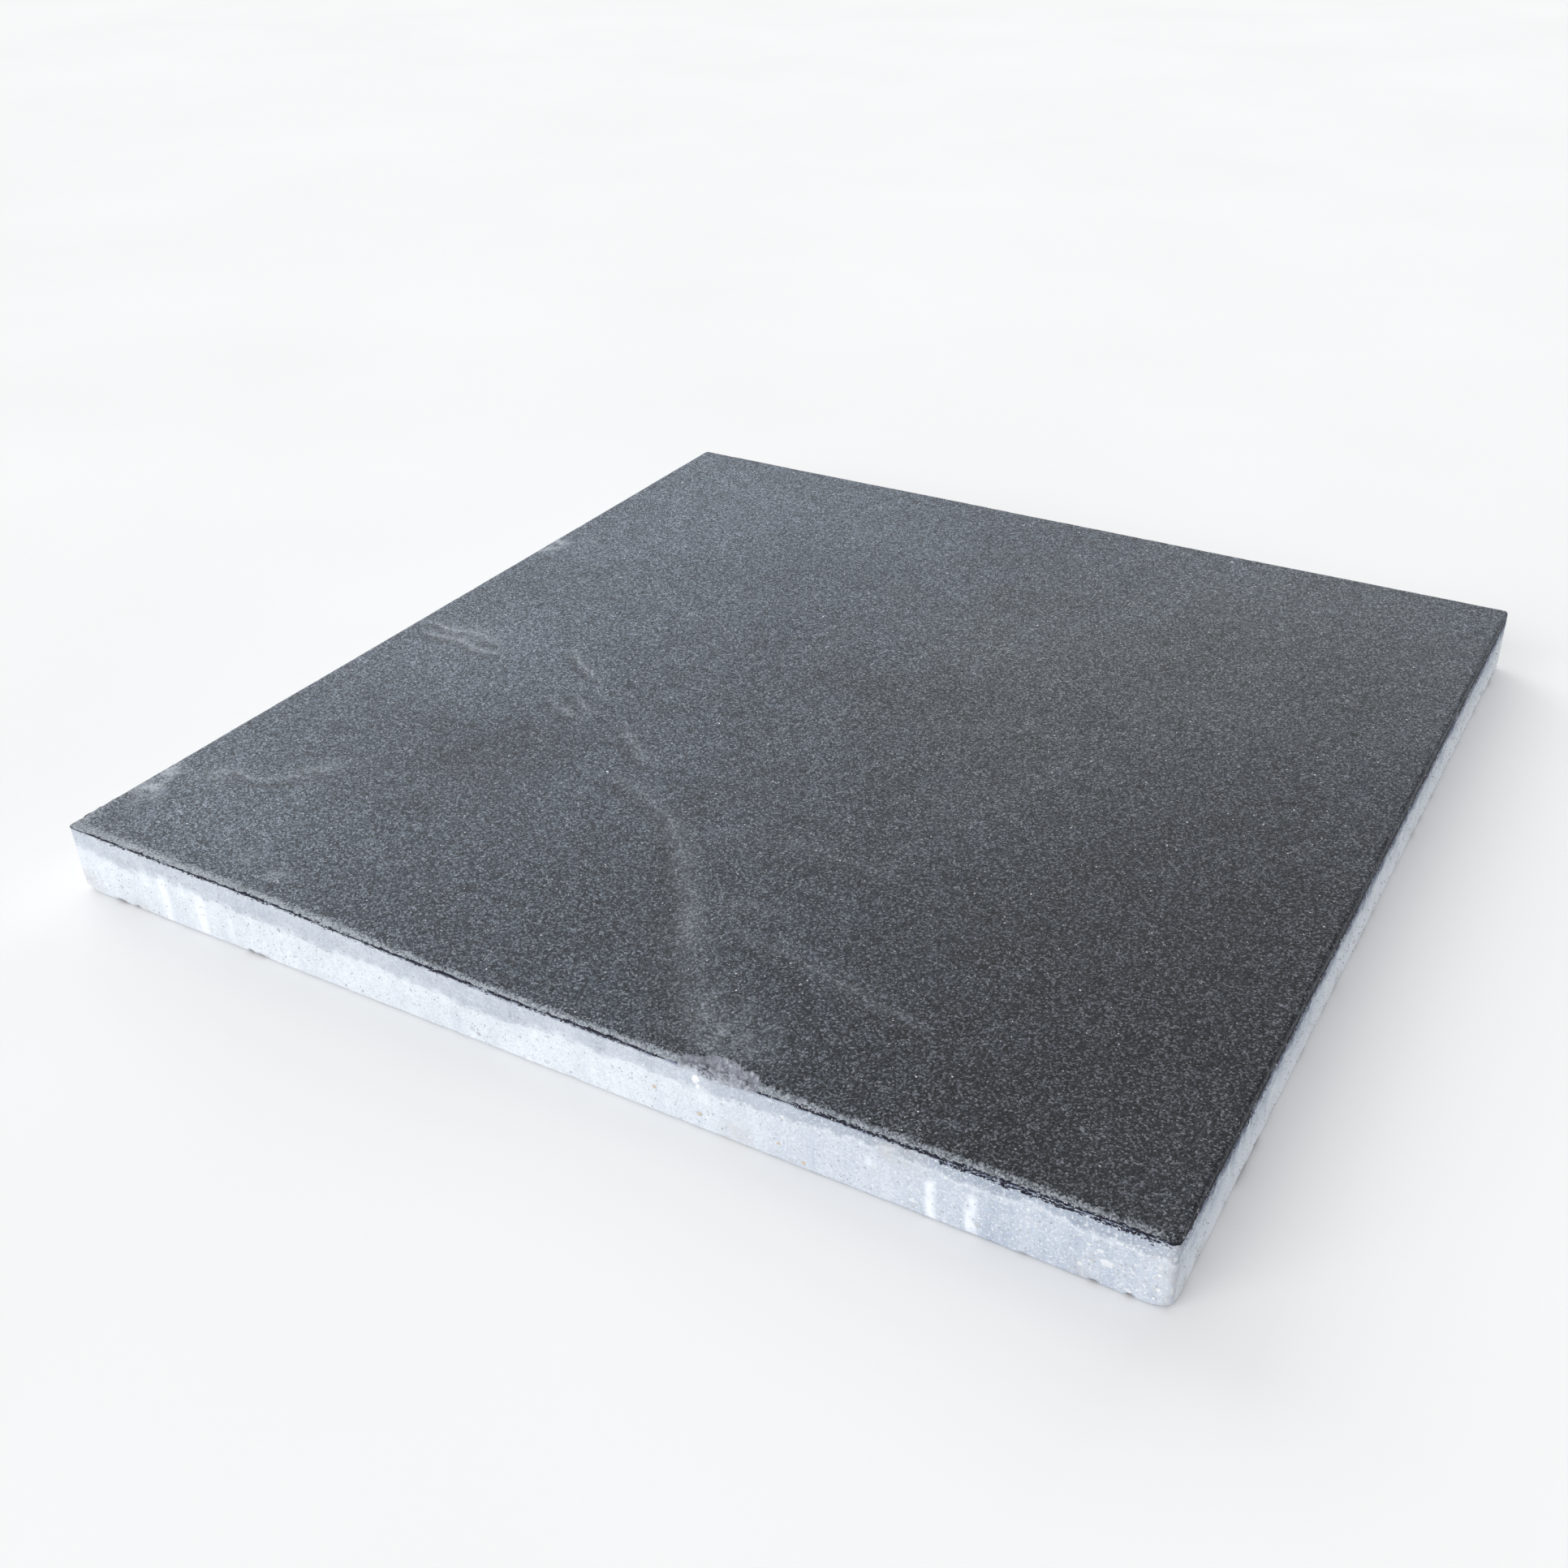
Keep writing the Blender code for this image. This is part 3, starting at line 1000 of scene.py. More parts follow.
# Flakes of the film, in millimetres: from and to this far round the slab, how many, their
# usual height above the seam and its spread
FLAKE_STRETCHES = (
    (432, 500, 340, 0.30, 0.60),
    (500, 597, 330, 0.25, 0.40),
    (500, 597, 420, -1.90, 0.65),
    (20, 366, 900, -0.45, 0.60),
    (606, 1190, 900, -2.00, 1.60),
)

FACE_GRAIN_COUNT = 9000
SAND_GRAIN_COUNT = 5200
SAND_CLEARANCE = 4 * MM

# Lumps of the quartz in the chip, in millimetres: middle and radii
QUARTZ_LUMPS = (
    ((84.4, -299.4, 28.6), (2.2, 1.2, 3.0)),
    ((85.6, -299.8, 25.0), (1.3, 0.8, 1.5)),
    ((83.2, -299.0, 31.2), (1.4, 1.0, 1.4)),
)


def side_place(distance, height):
    """(point, normal) on the slab's side, this far round it and at this height."""
    number = int(distance // SIDE) % 4
    angle = number * math.pi / 2
    tangent = Vector((round(math.cos(angle)), round(math.sin(angle)), 0))
    normal = Vector((round(math.sin(angle)), -round(math.cos(angle)), 0))
    point = tangent * (distance - number * SIDE - HALF) + normal * HALF
    return point + Vector((0, 0, height)), normal


def add_dome(work, layer, place, normal, radius, stretch, proud, shade, chance):
    """A low, uneven stone set in the side, showing as a flat dome."""
    across = Vector((0, 0, 1)).cross(normal).normalized()
    upright = normal.cross(across)
    tilt = chance.uniform(-0.6, 0.6)
    rings = []
    bumps = [chance.uniform(0.82, 1.15) for _ in range(STONE_SEGMENTS)]
    for reach, rise in STONE_RINGS:
        ring = []
        for index in range(STONE_SEGMENTS):
            angle = 2 * math.pi * index / STONE_SEGMENTS + tilt
            sideways = math.cos(angle) * radius * stretch * reach * bumps[index]
            up = math.sin(angle) * radius * reach * bumps[index]
            vertex = work.verts.new(place + across * sideways + upright * up + normal * rise * proud)
            vertex[layer] = shade
            ring.append(vertex)
        rings.append(ring)
    peak = work.verts.new(place + normal * proud)
    foot = work.verts.new(place - normal * proud)
    peak[layer] = shade
    foot[layer] = shade
    for index in range(STONE_SEGMENTS):
        following = (index + 1) % STONE_SEGMENTS
        for lower, upper in zip(rings, rings[1:]):
            work.faces.new((lower[index], lower[following], upper[following], upper[index]))
        work.faces.new((rings[-1][index], rings[-1][following], peak))
        work.faces.new((rings[0][following], rings[0][index], foot))


def make_pebbles(material):
    """Stones of the cement's aggregate that show in the sides, most of them at the right."""
    chance = random.Random(7)
    work = bmesh.new()
    layer = work.verts.layers.float.new("shade")
    for x, z, width, height in LARGE_PEBBLES:
        place, normal = side_place(HALF + x * MM, z * MM)
        add_dome(work, layer, place, normal, height * MM, width / height, 0.25 * MM, 0.65, chance)
    for x, z in BROWN_PEBBLES:
        place, normal = side_place(HALF + x * MM, z * MM)
        add_dome(work, layer, place, normal, 1.1 * MM, 1.2, 0.22 * MM, 0.08, chance)
    for _ in range(PEBBLE_COUNT):
        distance = chance.uniform(0, ROUND_TRIP)
        if distance < SIDE:
            distance = SIDE * (1 - chance.random() ** 3 * 0.95) - 6 * MM
        offset = distance % SIDE
        if offset < CORNER_CLEARANCE:
            distance += CORNER_CLEARANCE
        elif offset > SIDE - CORNER_CLEARANCE:
            distance -= CORNER_CLEARANCE
        height = chance.uniform(3, 29) * MM
        place, normal = side_place(distance, height)
        radius = chance.choice(PEBBLE_RADII) * MM
        stretch = chance.uniform(0.9, 1.6)
        shade = chance.uniform(0.25, 0.75)
        add_dome(work, layer, place, normal, radius, stretch, 0.20 * MM, shade, chance)
    return add_shapes(work, "aggregate_pebbles", material)


def arris_place(distance, rise):
    """(point, normal) on the rounded arris, this far above the seam, or on the side below it."""
    place, normal = side_place(distance, 0)
    seam = TOP - float(profile(distance, SEAM_DEPTHS))
    place.z = seam + rise
    if rise <= 0:
        return place, normal
    inner = place - normal * CORNER_RADIUS
    upper = float(face_height(inner.x, inner.y))
    roundness = float(arris_roundness(distance))
    share = min(rise / (upper - seam), 0.98) ** (1 / roundness)
    inset = CORNER_RADIUS * (1 - math.sqrt(1 - share**2))
    place.z = min(place.z, upper)
    return place - normal * inset, (normal * (1 - share) + Vector((0, 0, share))).normalized()


def make_flakes(material):
    """Scraps of the black film beside the seam, where it is braided and broken."""
    chance = random.Random(59)
    work = bmesh.new()
    layer = work.verts.layers.float.new("shade")
    for first, last, count, lift, spread in FLAKE_STRETCHES:
        for _ in range(count):
            distance = chance.uniform(first, last) * MM
            place, normal = arris_place(distance, chance.gauss(lift, spread) * MM)
            radius = chance.uniform(0.14, 0.36) * MM
            add_dome(work, layer, place, normal, radius, chance.uniform(1.0, 3.4), 0.12 * MM, 0.5, chance)
    return add_shapes(work, "bond_film_flakes", material)


def grain_mesh(name, grains, chance):
    """One mesh of small uneven eight-faced grains, each (place, radii, shade)."""
    points = []
    faces = []
    shades = []
    axes = [Vector(axis) for axis in ((1, 0, 0), (0, 1, 0), (-1, 0, 0), (0, -1, 0))]
    for place, radii, shade in grains:
        first = len(points)
        turn = Matrix.Rotation(chance.uniform(0, math.pi), 3, "Z")
        for axis in (*axes, Vector((0, 0, 1)), Vector((0, 0, -1))):
            jitter = chance.uniform(0.75, 1.2)
            corner = turn @ Vector((axis.x * radii[0], axis.y * radii[1], 0)) * jitter
            points.append(place + corner + Vector((0, 0, axis.z * radii[2] * jitter)))
            shades.append(shade)
        for index in range(4):
            following = (index + 1) % 4
            faces.append((first + index, first + following, first + 4))
            faces.append((first + following, first + index, first + 5))
    mesh = bpy.data.meshes.new(name)
    mesh.from_pydata(points, [], faces)
    set_shares(mesh, {"shade": shades})
    return mesh


def make_face_grains(material):
    """Crystals that stand a little out of the dark face and catch the light; the palest are painted glints
    as well as pale crystals.
    """
    chance = random.Random(23)
    grains = []
    for _ in range(FACE_GRAIN_COUNT):
        x = chance.uniform(-CORE, CORE)
        y = chance.uniform(-CORE, CORE)
        if abs(x - CHIP_CENTRE_X) < CHIP_HALF_LENGTH and y < -HALF + 12 * MM:
            continue
        size = chance.uniform(0.28, 0.62) * MM
        place = Vector((x, y, float(face_height(x, y)) + 0.02 * MM))
        grains.append((place, (size, size * 0.8, 0.16 * MM), chance.random()))
    for x, y, size, shade in FACE_FLECKS:
        place = Vector((x * MM, y * MM, float(face_height(x * MM, y * MM)) + 0.02 * MM))
        grains.append((place, (size * MM, size * 0.5 * MM, 0.30 * MM), shade))
    mesh = grain_mesh("face_crystal_grains", grains, chance)
    return add_piece(mesh, material)


def make_side_grains(material):
    """Sand grains that show along the worn arris and in the cement sides."""
    chance = random.Random(41)
    grains = []
    for _ in range(SAND_GRAIN_COUNT):
        distance = chance.uniform(0, ROUND_TRIP)
        offset = distance % SIDE
        if offset < SAND_CLEARANCE or offset > SIDE - SAND_CLEARANCE:
            continue
        near_seam = chance.random() < 0.28
        depth = profile(distance, SEAM_DEPTHS) + chance.gauss(0.2, 0.9) * MM
        height = TOP - depth if near_seam else chance.uniform(2, 33) * MM
        place, normal = side_place(distance, min(height, TOP - 2.2 * MM))
        in_chip = abs(place.x - CHIP_CENTRE_X) < CHIP_HALF_LENGTH and normal.y < 0
        if in_chip and height > TOP - 13 * MM:
            continue
        size = chance.uniform(0.22, 0.50) * MM
        grains.append((place, (size, size, size), chance.random()))
    mesh = grain_mesh("cement_sand_grains", grains, chance)
    return add_piece(mesh, material)


def make_chip_rubble(material):
    """Rounded lumps of broken stone and cement that cover the seam inside the chip."""
    chance = random.Random(67)
    work = bmesh.new()
    layer = work.verts.layers.float.new("pale")
    for _ in range(RUBBLE_LUMPS):
        along = chance.uniform(-1, 1)
        x = CHIP_CENTRE_X + along * 0.88 * CHIP_HALF_LENGTH
        depth = chance.uniform(-1.0, 1.0) * RUBBLE_SPREAD * math.sqrt(1 - along**2)
        seam = TOP - float(profile(x + HALF, SEAM_DEPTHS))
        base = np.array([[x, -HALF, seam + depth]])
        upper = float(face_height(x, -HALF + CORNER_RADIUS))
        if base[0, 2] > upper - 0.6 * MM:
            base[0, 1] += base[0, 2] - upper + 0.6 * MM
            base[0, 2] = upper - 0.3 * MM
        centre = worn_chip(base, np.zeros(1))[0]
        low = min(max(-depth / RUBBLE_SPREAD, 0), 1)
        radius = chance.uniform(0.6, 1.5 - 0.6 * low) * MM
        squash = chance.uniform(0.45, 0.7) * (1 - 0.45 * low)
        made = bmesh.ops.create_icosphere(work, subdivisions=3, radius=1.0)["verts"]
        unit = np.array([vertex.co for vertex in made])
        sizes = radius * (1 + 0.22 * noise(unit + 10 * along, 800, 103, 2))
        stretch = Vector((chance.uniform(0.9, 1.6), squash, chance.uniform(0.7, 1.0)))
        for vertex, size in zip(made, sizes):
            offset = Vector(a * b for a, b in zip(vertex.co, stretch))
            vertex.co = Vector(centre) + offset * float(size)
            below = (seam - 0.9 * MM - vertex.co.z) / (3.4 * MM)
            beside = (90 * MM - vertex.co.x) / (7 * MM)
            vertex[layer] = below + 0.8 * min(max(beside, 0), 1) * (vertex.co.z < seam + 2 * MM)
    return add_shapes(work, "chip_broken_lumps", material)


def make_chip_crystal(material):
    """The white quartz lump bared in the chip."""
    work = bmesh.new()
    for centre, radii in QUARTZ_LUMPS:
        made = bmesh.ops.create_icosphere(work, subdivisions=4, radius=1.0)["verts"]
        unit = np.array([vertex.co for vertex in made])
        facets = 1 + 0.16 * noise(unit, 550, 101, 2)
        for vertex, size in zip(made, facets):
            place = Vector(centre) + Vector(a * b for a, b in zip(vertex.co * float(size), radii))
            vertex.co = place * MM
    return add_shapes(work, "chip_quartz_lump", material)


# ------------------------------------------------------------------ materials


class Paint:
    """A material, with a short way to write each of its nodes. Sizes are in millimetres."""

    def __init__(self, name, roughness, specular=0.5):
        self.material = bpy.data.materials.new(name)
        self.material.use_nodes = True
        self.tree = self.material.node_tree
        self.shader = self.tree.nodes["Principled BSDF"]
        self.shader.inputs["Roughness"].default_value = roughness
        self.shader.inputs["Specular IOR Level"].default_value = specular
        self.place = self.node("TexCoord", "Object")

    def put(self, socket, value):
        if isinstance(value, bpy.types.NodeSocket):
            self.tree.links.new(value, socket)
        elif socket.type == "RGBA":
            socket.default_value = (*value, 1.0)
        else:
            socket.default_value = value

    def node(self, kind, output, values=(), **settings):
        """One output of a new node that has these settings and values in its inputs."""
        node = self.tree.nodes.new("ShaderNode" + kind)
        for name, setting in settings.items():
            setattr(node, name, setting)
        for name, value in dict(values).items():
            self.put(node.inputs[name], value)
        return node.outputs[output]

    def share(self, name):
        """A share that is stored at the mesh's points."""
        return self.node("Attribute", "Fac", attribute_name=name)

    def number(self, operation, *values):
        return self.node("Math", 0, enumerate(values), operation=operation)

    def times(self, first, second):
        return self.number("MULTIPLY", first, second)

    def spread(self, value, low, high, to_low=0.0, to_high=1.0):
        """value, moved from the range low to high onto the range to_low to to_high."""
        names = ("Value", "From Min", "From Max", "To Min", "To Max")
        return self.node("MapRange", "Result", zip(names, (value, low, high, to_low, to_high)))

    def noise(self, size, detail=2.0, roughness=0.55, stretch=None):
        place = self.place
        if stretch:
            place = self.node("Mapping", "Vector", {"Vector": place, "Scale": stretch})
        values = {"Vector": place, "Scale": 1 / (size * MM)}
        values |= {"Detail": detail, "Roughness": roughness}
        return self.node("TexNoise", "Fac", values)

    def cells(self, size):
        """(a random number for each cell, the distance to its middle)."""
        values = {"Vector": self.place, "Scale": 1 / (size * MM)}
        colour = self.node("TexVoronoi", "Color", values)
        chance = self.node("SeparateColor", "Red", {"Color": colour})
        return chance, colour.node.outputs["Distance"]

    def blend(self, share, first, second, kind="MIX"):
        values = {"Factor": share, 6: first, 7: second}
        return self.node("Mix", 2, values, data_type="RGBA", blend_type=kind)

    def scaled(self, colour, amount):
        """colour, made amount times as bright."""
        return self.node("VectorMath", 0, {0: colour, "Scale": amount}, operation="SCALE")

    def ramp(self, value, stops):
        colour = self.node("ValToRGB", "Color", {"Fac": value})
        points = colour.node.color_ramp.elements
        while len(points) < len(stops):
            points.new(0.5)
        for point, (position, shade) in zip(points, stops):
            point.position = position
            point.color = (*shade, 1.0)
        return colour

    def bump(self, height, distance, strength, normal=None):
        values = {"Height": height, "Distance": distance * MM, "Strength": strength}
        if normal:
            values["Normal"] = normal
        return self.node("Bump", "Normal", values)

    def finish(self, colour, normal=None, roughness=None):
        sources = {"Base Color": colour, "Normal": normal, "Roughness": roughness}
        for name, source in sources.items():
            if source:
                self.put(self.shader.inputs[name], source)
        return self.material


# What the cement materials are blended or tinted with
DAMP_AND_SHADE_TINT = (0.50, 0.55, 0.64)
SMEAR_AND_SHADE_TINT = (0.30, 0.33, 0.42)
BORDER_COLOUR = (0.720, 0.768, 0.830)
SPECK_COLOUR = (0.34, 0.34, 0.36)
FLECK_COLOUR = (0.90, 0.91, 0.93)
STAIN_COLOUR = (0.52, 0.50, 0.50)
LIME_AND_LIGHT_COLOUR = (0.91, 0.94, 1.0)
NOTCH_SHADE_COLOUR = (0.060, 0.045, 0.085)
PORE_COLOUR = (0.22, 0.23, 0.27)


def chipped_colour(paint):
    """The mottled grey of freshly broken stone."""
    stops = [
        (0.30, (0.125, 0.130, 0.160)),
        (0.47, (0.215, 0.226, 0.265)),
        (0.59, (0.335, 0.352, 0.400)),
        (0.70, (0.600, 0.625, 0.670)),
    ]
    return paint.ramp(paint.noise(2.2, 5, 0.7), stops)


def dark_face_material():
    """Fine-grained dark mineral surface with pale dust, sparkling grains whose palest are painted glints,
    a tone with painted sheen and shade, and a worn rim.
    """
    paint = Paint("anthracite_granite_face", 0.55, specular=0.22)
    chance, middle = paint.cells(0.86)
    small_chance, _ = paint.cells(0.45)
    mixed = paint.number("MULTIPLY_ADD", small_chance, 0.36, paint.times(chance, 0.64))
    stops = [
        (0.00, (0.005, 0.006, 0.007)),
        (0.24, (0.0135, 0.017, 0.023)),
        (0.42, (0.0385, 0.048, 0.0625)),
        (0.58, (0.0725, 0.090, 0.1155)),
        (0.74, (0.117, 0.144, 0.182)),
        (0.88, (0.210, 0.243, 0.288)),
        # The palest cells are painted glints as well as pale grains
        (1.00, (0.580, 0.630, 0.700)),
    ]
    colour = paint.ramp(mixed, stops)
    mottle = paint.spread(paint.noise(11, 5, 0.65), 0.3, 0.7, 0.84, 1.16)
    cloud = paint.spread(paint.noise(85, 3), 0.3, 0.7, 0.88, 1.12)
    # The tone carries painted sheen and shade as well as random tone
    colour = paint.scaled(colour, paint.times(paint.times(mottle, cloud), paint.share("tone")))
    colour = paint.blend(paint.share("warm"), colour, (1.0, 0.955, 0.87), "MULTIPLY")

    powder = paint.spread(mixed, 0.1, 0.9, 0.35, 1.25)
    patchy = paint.spread(paint.noise(3.5, 3), 0.3, 0.65, 0.5, 1.1)
    powder = paint.times(powder, paint.times(patchy, paint.share("dust")))
    colour = paint.blend(paint.times(powder, 0.70), colour, (0.44, 0.48, 0.53))

    sand_stops = [
        (0.0, (0.220, 0.245, 0.280)),
        (0.4, (0.325, 0.358, 0.400)),
        (0.8, (0.415, 0.445, 0.485)),
        (1.0, (0.550, 0.570, 0.590)),
    ]
    scatter = paint.times(paint.number("SUBTRACT", mixed, 0.5), 0.8)
    rim = paint.spread(paint.number("ADD", paint.share("wear"), scatter), 0.10, 1.1)
    colour = paint.blend(rim, colour, paint.ramp(mixed, sand_stops))
    edge = paint.number("MULTIPLY_ADD", scatter, 0.8, paint.share("chip"))
    colour = paint.blend(paint.spread(edge, 0.1, 0.9), colour, chipped_colour(paint))

    roughness = paint.spread(small_chance, 0.0, 1.0, 0.40, 0.75)
    grain = paint.bump(paint.number("SUBTRACT", 1.0, middle), 0.26, 0.8)
    normal = paint.bump(paint.noise(0.5, 3), 0.12, 0.7, grain)
    return paint.finish(colour, normal, roughness)


def bond_material():
    paint = Paint("black_bond_film", 0.6, specular=0.25)
    stops = [
        (0.35, (0.003, 0.003, 0.010)),
        (0.62, (0.012, 0.013, 0.034)),
        (0.80, (0.050, 0.056, 0.090)),
    ]
    colour = paint.ramp(paint.noise(1.6, 4), stops)
    return paint.finish(colour, paint.bump(paint.noise(0.7, 3), 0.15, 0.8))


def cement_material(name, light, dark):
    """Cast cement with cloudy tone, drips, sand specks, pores, lime and damp patches, painted shade
    towards the top of the sides away from the front and painted light at their foot.
    """
    paint = Paint(name, 0.85)
    cloud = paint.noise(26, 4)
    patch = paint.noise(6, 4, 0.65)
    drip = paint.noise(5.5, 3, stretch=(1, 1, 0.14))
    sand = paint.noise(0.9, 2)
    damp_and_painted_shade = paint.share("damp_and_painted_shade")

    tone = paint.number("ADD", paint.times(patch, 0.55), paint.times(cloud, 0.45))
    colour = paint.blend(paint.spread(tone, 0.36, 0.64), dark, light)
    colour = paint.scaled(colour, paint.spread(sand, 0.25, 0.75, 0.84, 1.13))
    uneven = paint.number("MULTIPLY_ADD", paint.spread(patch, 0.36, 0.62), 0.30, 0.45)
    streak = paint.number("MULTIPLY_ADD", paint.spread(drip, 0.35, 0.65), 0.25, uneven)
    # Damp grey, and painted shade towards the top of the sides
    colour = paint.blend(paint.times(damp_and_painted_shade, streak), colour, DAMP_AND_SHADE_TINT, "MULTIPLY")
    cloudy = paint.times(paint.share("border"), paint.spread(patch, 0.36, 0.62, 0.25, 1.0))
    colour = paint.blend(cloudy, colour, BORDER_COLOUR)

    chance, middle = paint.cells(1.9)
    speck = paint.times(paint.spread(chance, 0.86, 0.94), paint.spread(middle, 0.30, 0.15))
    speck = paint.times(speck, paint.spread(damp_and_painted_shade, 0.0, 1.0, 0.05, 0.65))
    colour = paint.blend(speck, colour, SPECK_COLOUR)
    fleck = paint.spread(paint.noise(1.5, 3, 0.65), 0.53, 0.64)
    fleck = paint.times(fleck, paint.spread(damp_and_painted_shade, 0.0, 0.8, 0.20, 0.70))
    colour = paint.blend(fleck, colour, FLECK_COLOUR)

    stain = paint.times(paint.share("stain"), paint.spread(patch, 0.35, 0.6, 0.1, 0.8))
    colour = paint.blend(stain, colour, STAIN_COLOUR)
    chip = paint.times(paint.share("chip"), paint.spread(patch, 0.35, 0.6, 0.0, 0.6))
    colour = paint.blend(chip, colour, chipped_colour(paint))
    # Film smear and painted shade below the seam
    colour = paint.blend(paint.share("smear_and_painted_shade"), colour, SMEAR_AND_SHADE_TINT, "MULTIPLY")
    # Scrapes down the front, and painted light at the foot of the sides
    colour = paint.blend(paint.times(paint.share("lime_and_painted_light"), 0.95), colour, LIME_AND_LIGHT_COLOUR)
    # Painted shade in the notches
    colour = paint.blend(paint.share("painted_notch_shade"), colour, NOTCH_SHADE_COLOUR)

    chance, middle = paint.cells(3.1)
    pore = paint.times(paint.spread(chance, 0.80, 0.88), paint.spread(middle, 0.22, 0.10))
    colour = paint.blend(paint.times(pore, 0.14), colour, PORE_COLOUR)
    normal = paint.bump(paint.number("SUBTRACT", 1.0, pore), 0.4, 0.6)
    normal = paint.bump(patch, 0.35, 0.6, normal)
    normal = paint.bump(sand, 0.12, 0.7, normal)
    return paint.finish(colour, normal, paint.spread(sand, 0.3, 0.7, 0.75, 0.95))


def stone_material(name, stops, roughness):
    """Small stones and grains, each with its own tone."""
    paint = Paint(name, roughness)
    colour = paint.ramp(paint.share("shade"), stops)
    colour = paint.scaled(colour, paint.spread(paint.noise(0.8, 3), 0.3, 0.7, 0.85, 1.12))
    return paint.finish(colour, paint.bump(paint.noise(0.6, 3), 0.1, 0.5))


def rubble_material():
    """Freshly broken stone, mottled grey with paler crumbs."""
    paint = Paint("broken_stone", 0.8)
    normal = paint.bump(paint.noise(0.9, 4), 0.25, 0.8)
    level = paint.spread(paint.noise(6, 2), 0.35, 0.65, 0.85, 1.3)
    scatter = paint.spread(paint.noise(2.6, 4), 0.3, 0.7, -0.35, 0.35)
    pale = paint.spread(paint.number("ADD", paint.share("pale"), scatter), 0.0, 1.0, 0.0, 0.9)
    colour = paint.blend(pale, paint.scaled(chipped_colour(paint), level), (0.62, 0.66, 0.73))
    return paint.finish(colour, normal)


def quartz_material():
    paint = Paint("white_quartz", 0.35)
    stops = [(0.30, (0.72, 0.74, 0.80)), (0.55, (0.93, 0.94, 1.0)), (0.75, (1.0, 1.0, 1.0))]
    colour = paint.ramp(paint.noise(1.8, 4), stops)
    return paint.finish(colour, paint.bump(paint.noise(1.1, 3), 0.3, 0.7))


def floor_material():
    paint = Paint("pale_studio_floor", 0.8, specular=0.0)
    stops = [(0.3, (0.89, 0.89, 0.89)), (0.7, (0.91, 0.91, 0.91))]
    return paint.finish(paint.ramp(paint.noise(350, 2), stops))


# ------------------------------------------------------------------ studio

FLOOR_REACH = 15.0
CAMERA_PLACE = Vector((0.41784, -0.75323, 0.51992))
CAMERA_AZIMUTH = 29.06
CAMERA_TILT = 57.72
CAMERA_ROLL = -0.548
CAMERA_LENS = 39.60
CAMERA_SENSOR = 36.0
CAMERA_SHIFT = (-0.04865, 0.01139)

# Soft lamps far away: name, strength, apparent width in degrees, and the way to the lamp
LAMPS = [
    ("overhead_softbox", 0.95, 80, (-0.15, 0.10, 1.0)),
    ("front_softbox", 1.75, 50, (-0.34, -0.87, 0.40)),
    ("left_softbox", 1.10, 40, (-0.85, 0.50, 0.40)),
    ("back_softbox", 0.65, 44, (-0.22, 0.96, 0.34)),
    ("right_softbox", 0.40, 60, (0.95, -0.25, 0.26)),
]
WORLD_STRENGTH = 0.30


def make_floor():
    work = bmesh.new()
    bmesh.ops.create_grid(work, x_segments=24, y_segments=24, size=FLOOR_REACH)
    mesh = bpy.data.meshes.new("studio_floor")
    work.to_mesh(mesh)
    work.free()
    mesh.materials.append(floor_material())
    floor = put_in_scene("studio_floor", mesh)
    floor.location.z = CAD_LOW.z - 0.1 * MM


def make_lamps():
    for name, strength, width, way in LAMPS:
        light = bpy.data.lights.new(name, "SUN")
        light.energy = strength
        light.angle = math.radians(width)
        lamp = put_in_scene(name, light)
        lamp.rotation_mode = "QUATERNION"
        lamp.rotation_quaternion = Vector(way).to_track_quat("Z", "Y")


def make_world():
    world = bpy.data.worlds.new("pale_studio")
    world.use_nodes = True
    background = world.node_tree.nodes["Background"]
    background.inputs["Color"].default_value = (0.96, 0.98, 1.0, 1.0)
    background.inputs["Strength"].default_value = WORLD_STRENGTH
    bpy.context.scene.world = world
    bpy.context.scene.view_settings.view_transform = "Standard"


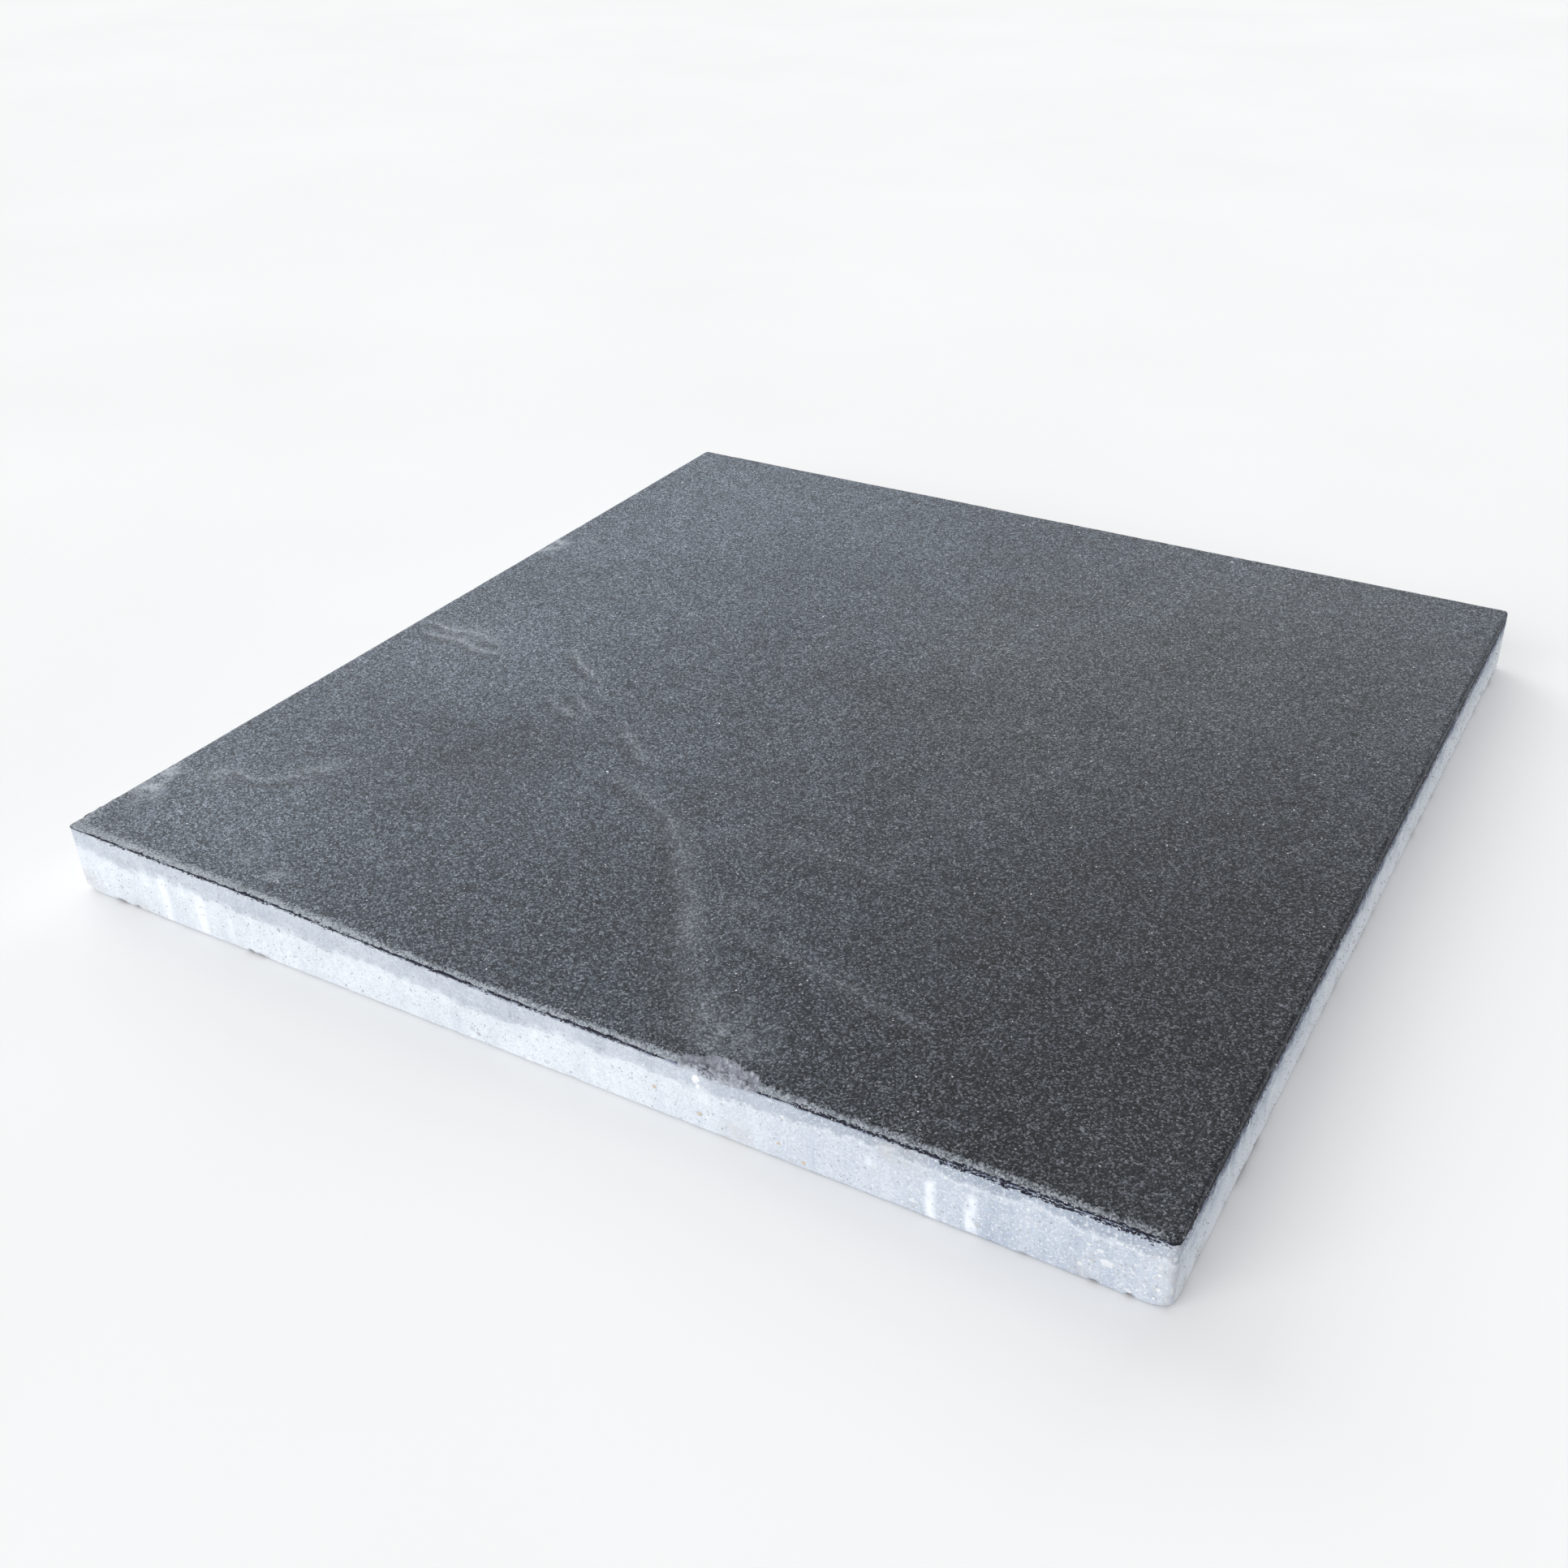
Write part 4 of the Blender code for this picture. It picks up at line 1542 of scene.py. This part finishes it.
def make_camera():
    data = bpy.data.cameras.new("camera")
    data.sensor_width = CAMERA_SENSOR
    data.lens = CAMERA_LENS
    data.shift_x, data.shift_y = CAMERA_SHIFT
    data.clip_start = 0.01
    data.clip_end = 100.0
    camera = put_in_scene("camera", data)
    turn = Matrix.Rotation(math.radians(CAMERA_AZIMUTH), 4, "Z")
    turn @= Matrix.Rotation(math.radians(CAMERA_TILT), 4, "X")
    turn @= Matrix.Rotation(math.radians(CAMERA_ROLL), 4, "Z")
    camera.matrix_world = Matrix.Translation(CAMERA_PLACE) @ turn
    bpy.context.scene.camera = camera


# ------------------------------------------------------------------ build

STONE_STOPS = [
    (0.00, (0.66, 0.50, 0.38)),
    (0.10, (0.64, 0.57, 0.49)),
    (0.22, (0.46, 0.47, 0.50)),
    (0.45, (0.66, 0.69, 0.74)),
    (1.00, (0.95, 0.96, 0.97)),
]
FACE_GRAIN_AND_GLINT_STOPS = [
    (0.00, (0.025, 0.030, 0.036)),
    (0.50, (0.100, 0.115, 0.135)),
    (0.86, (0.260, 0.290, 0.330)),
    # The palest grains are painted glints as well as pale crystals
    (1.00, (0.950, 0.970, 1.000)),
]
SAND_STOPS = [
    (0.00, (0.36, 0.37, 0.40)),
    (0.20, (0.44, 0.46, 0.49)),
    (0.70, (0.56, 0.58, 0.62)),
    (1.00, (0.80, 0.80, 0.79)),
]

grey_cement = cement_material("grey_facing_cement", (0.640, 0.688, 0.757), (0.480, 0.528, 0.598))
pale_cement = cement_material("pale_backing_cement", (0.842, 0.883, 0.932), (0.722, 0.768, 0.828))
dark_face = dark_face_material()
make_crests(make_face(dark_face), dark_face)
bond_black = bond_material()
make_film(bond_black)
make_flakes(bond_black)
make_facing(grey_cement)
make_backing(pale_cement)
make_pebbles(stone_material("aggregate_stone", STONE_STOPS, 0.6))
make_face_grains(stone_material("face_crystals_and_glints", FACE_GRAIN_AND_GLINT_STOPS, 0.3))
make_side_grains(stone_material("cement_sand", SAND_STOPS, 0.7))
make_chip_rubble(rubble_material())
make_chip_crystal(quartz_material())
make_floor()
make_lamps()
make_world()
make_camera()
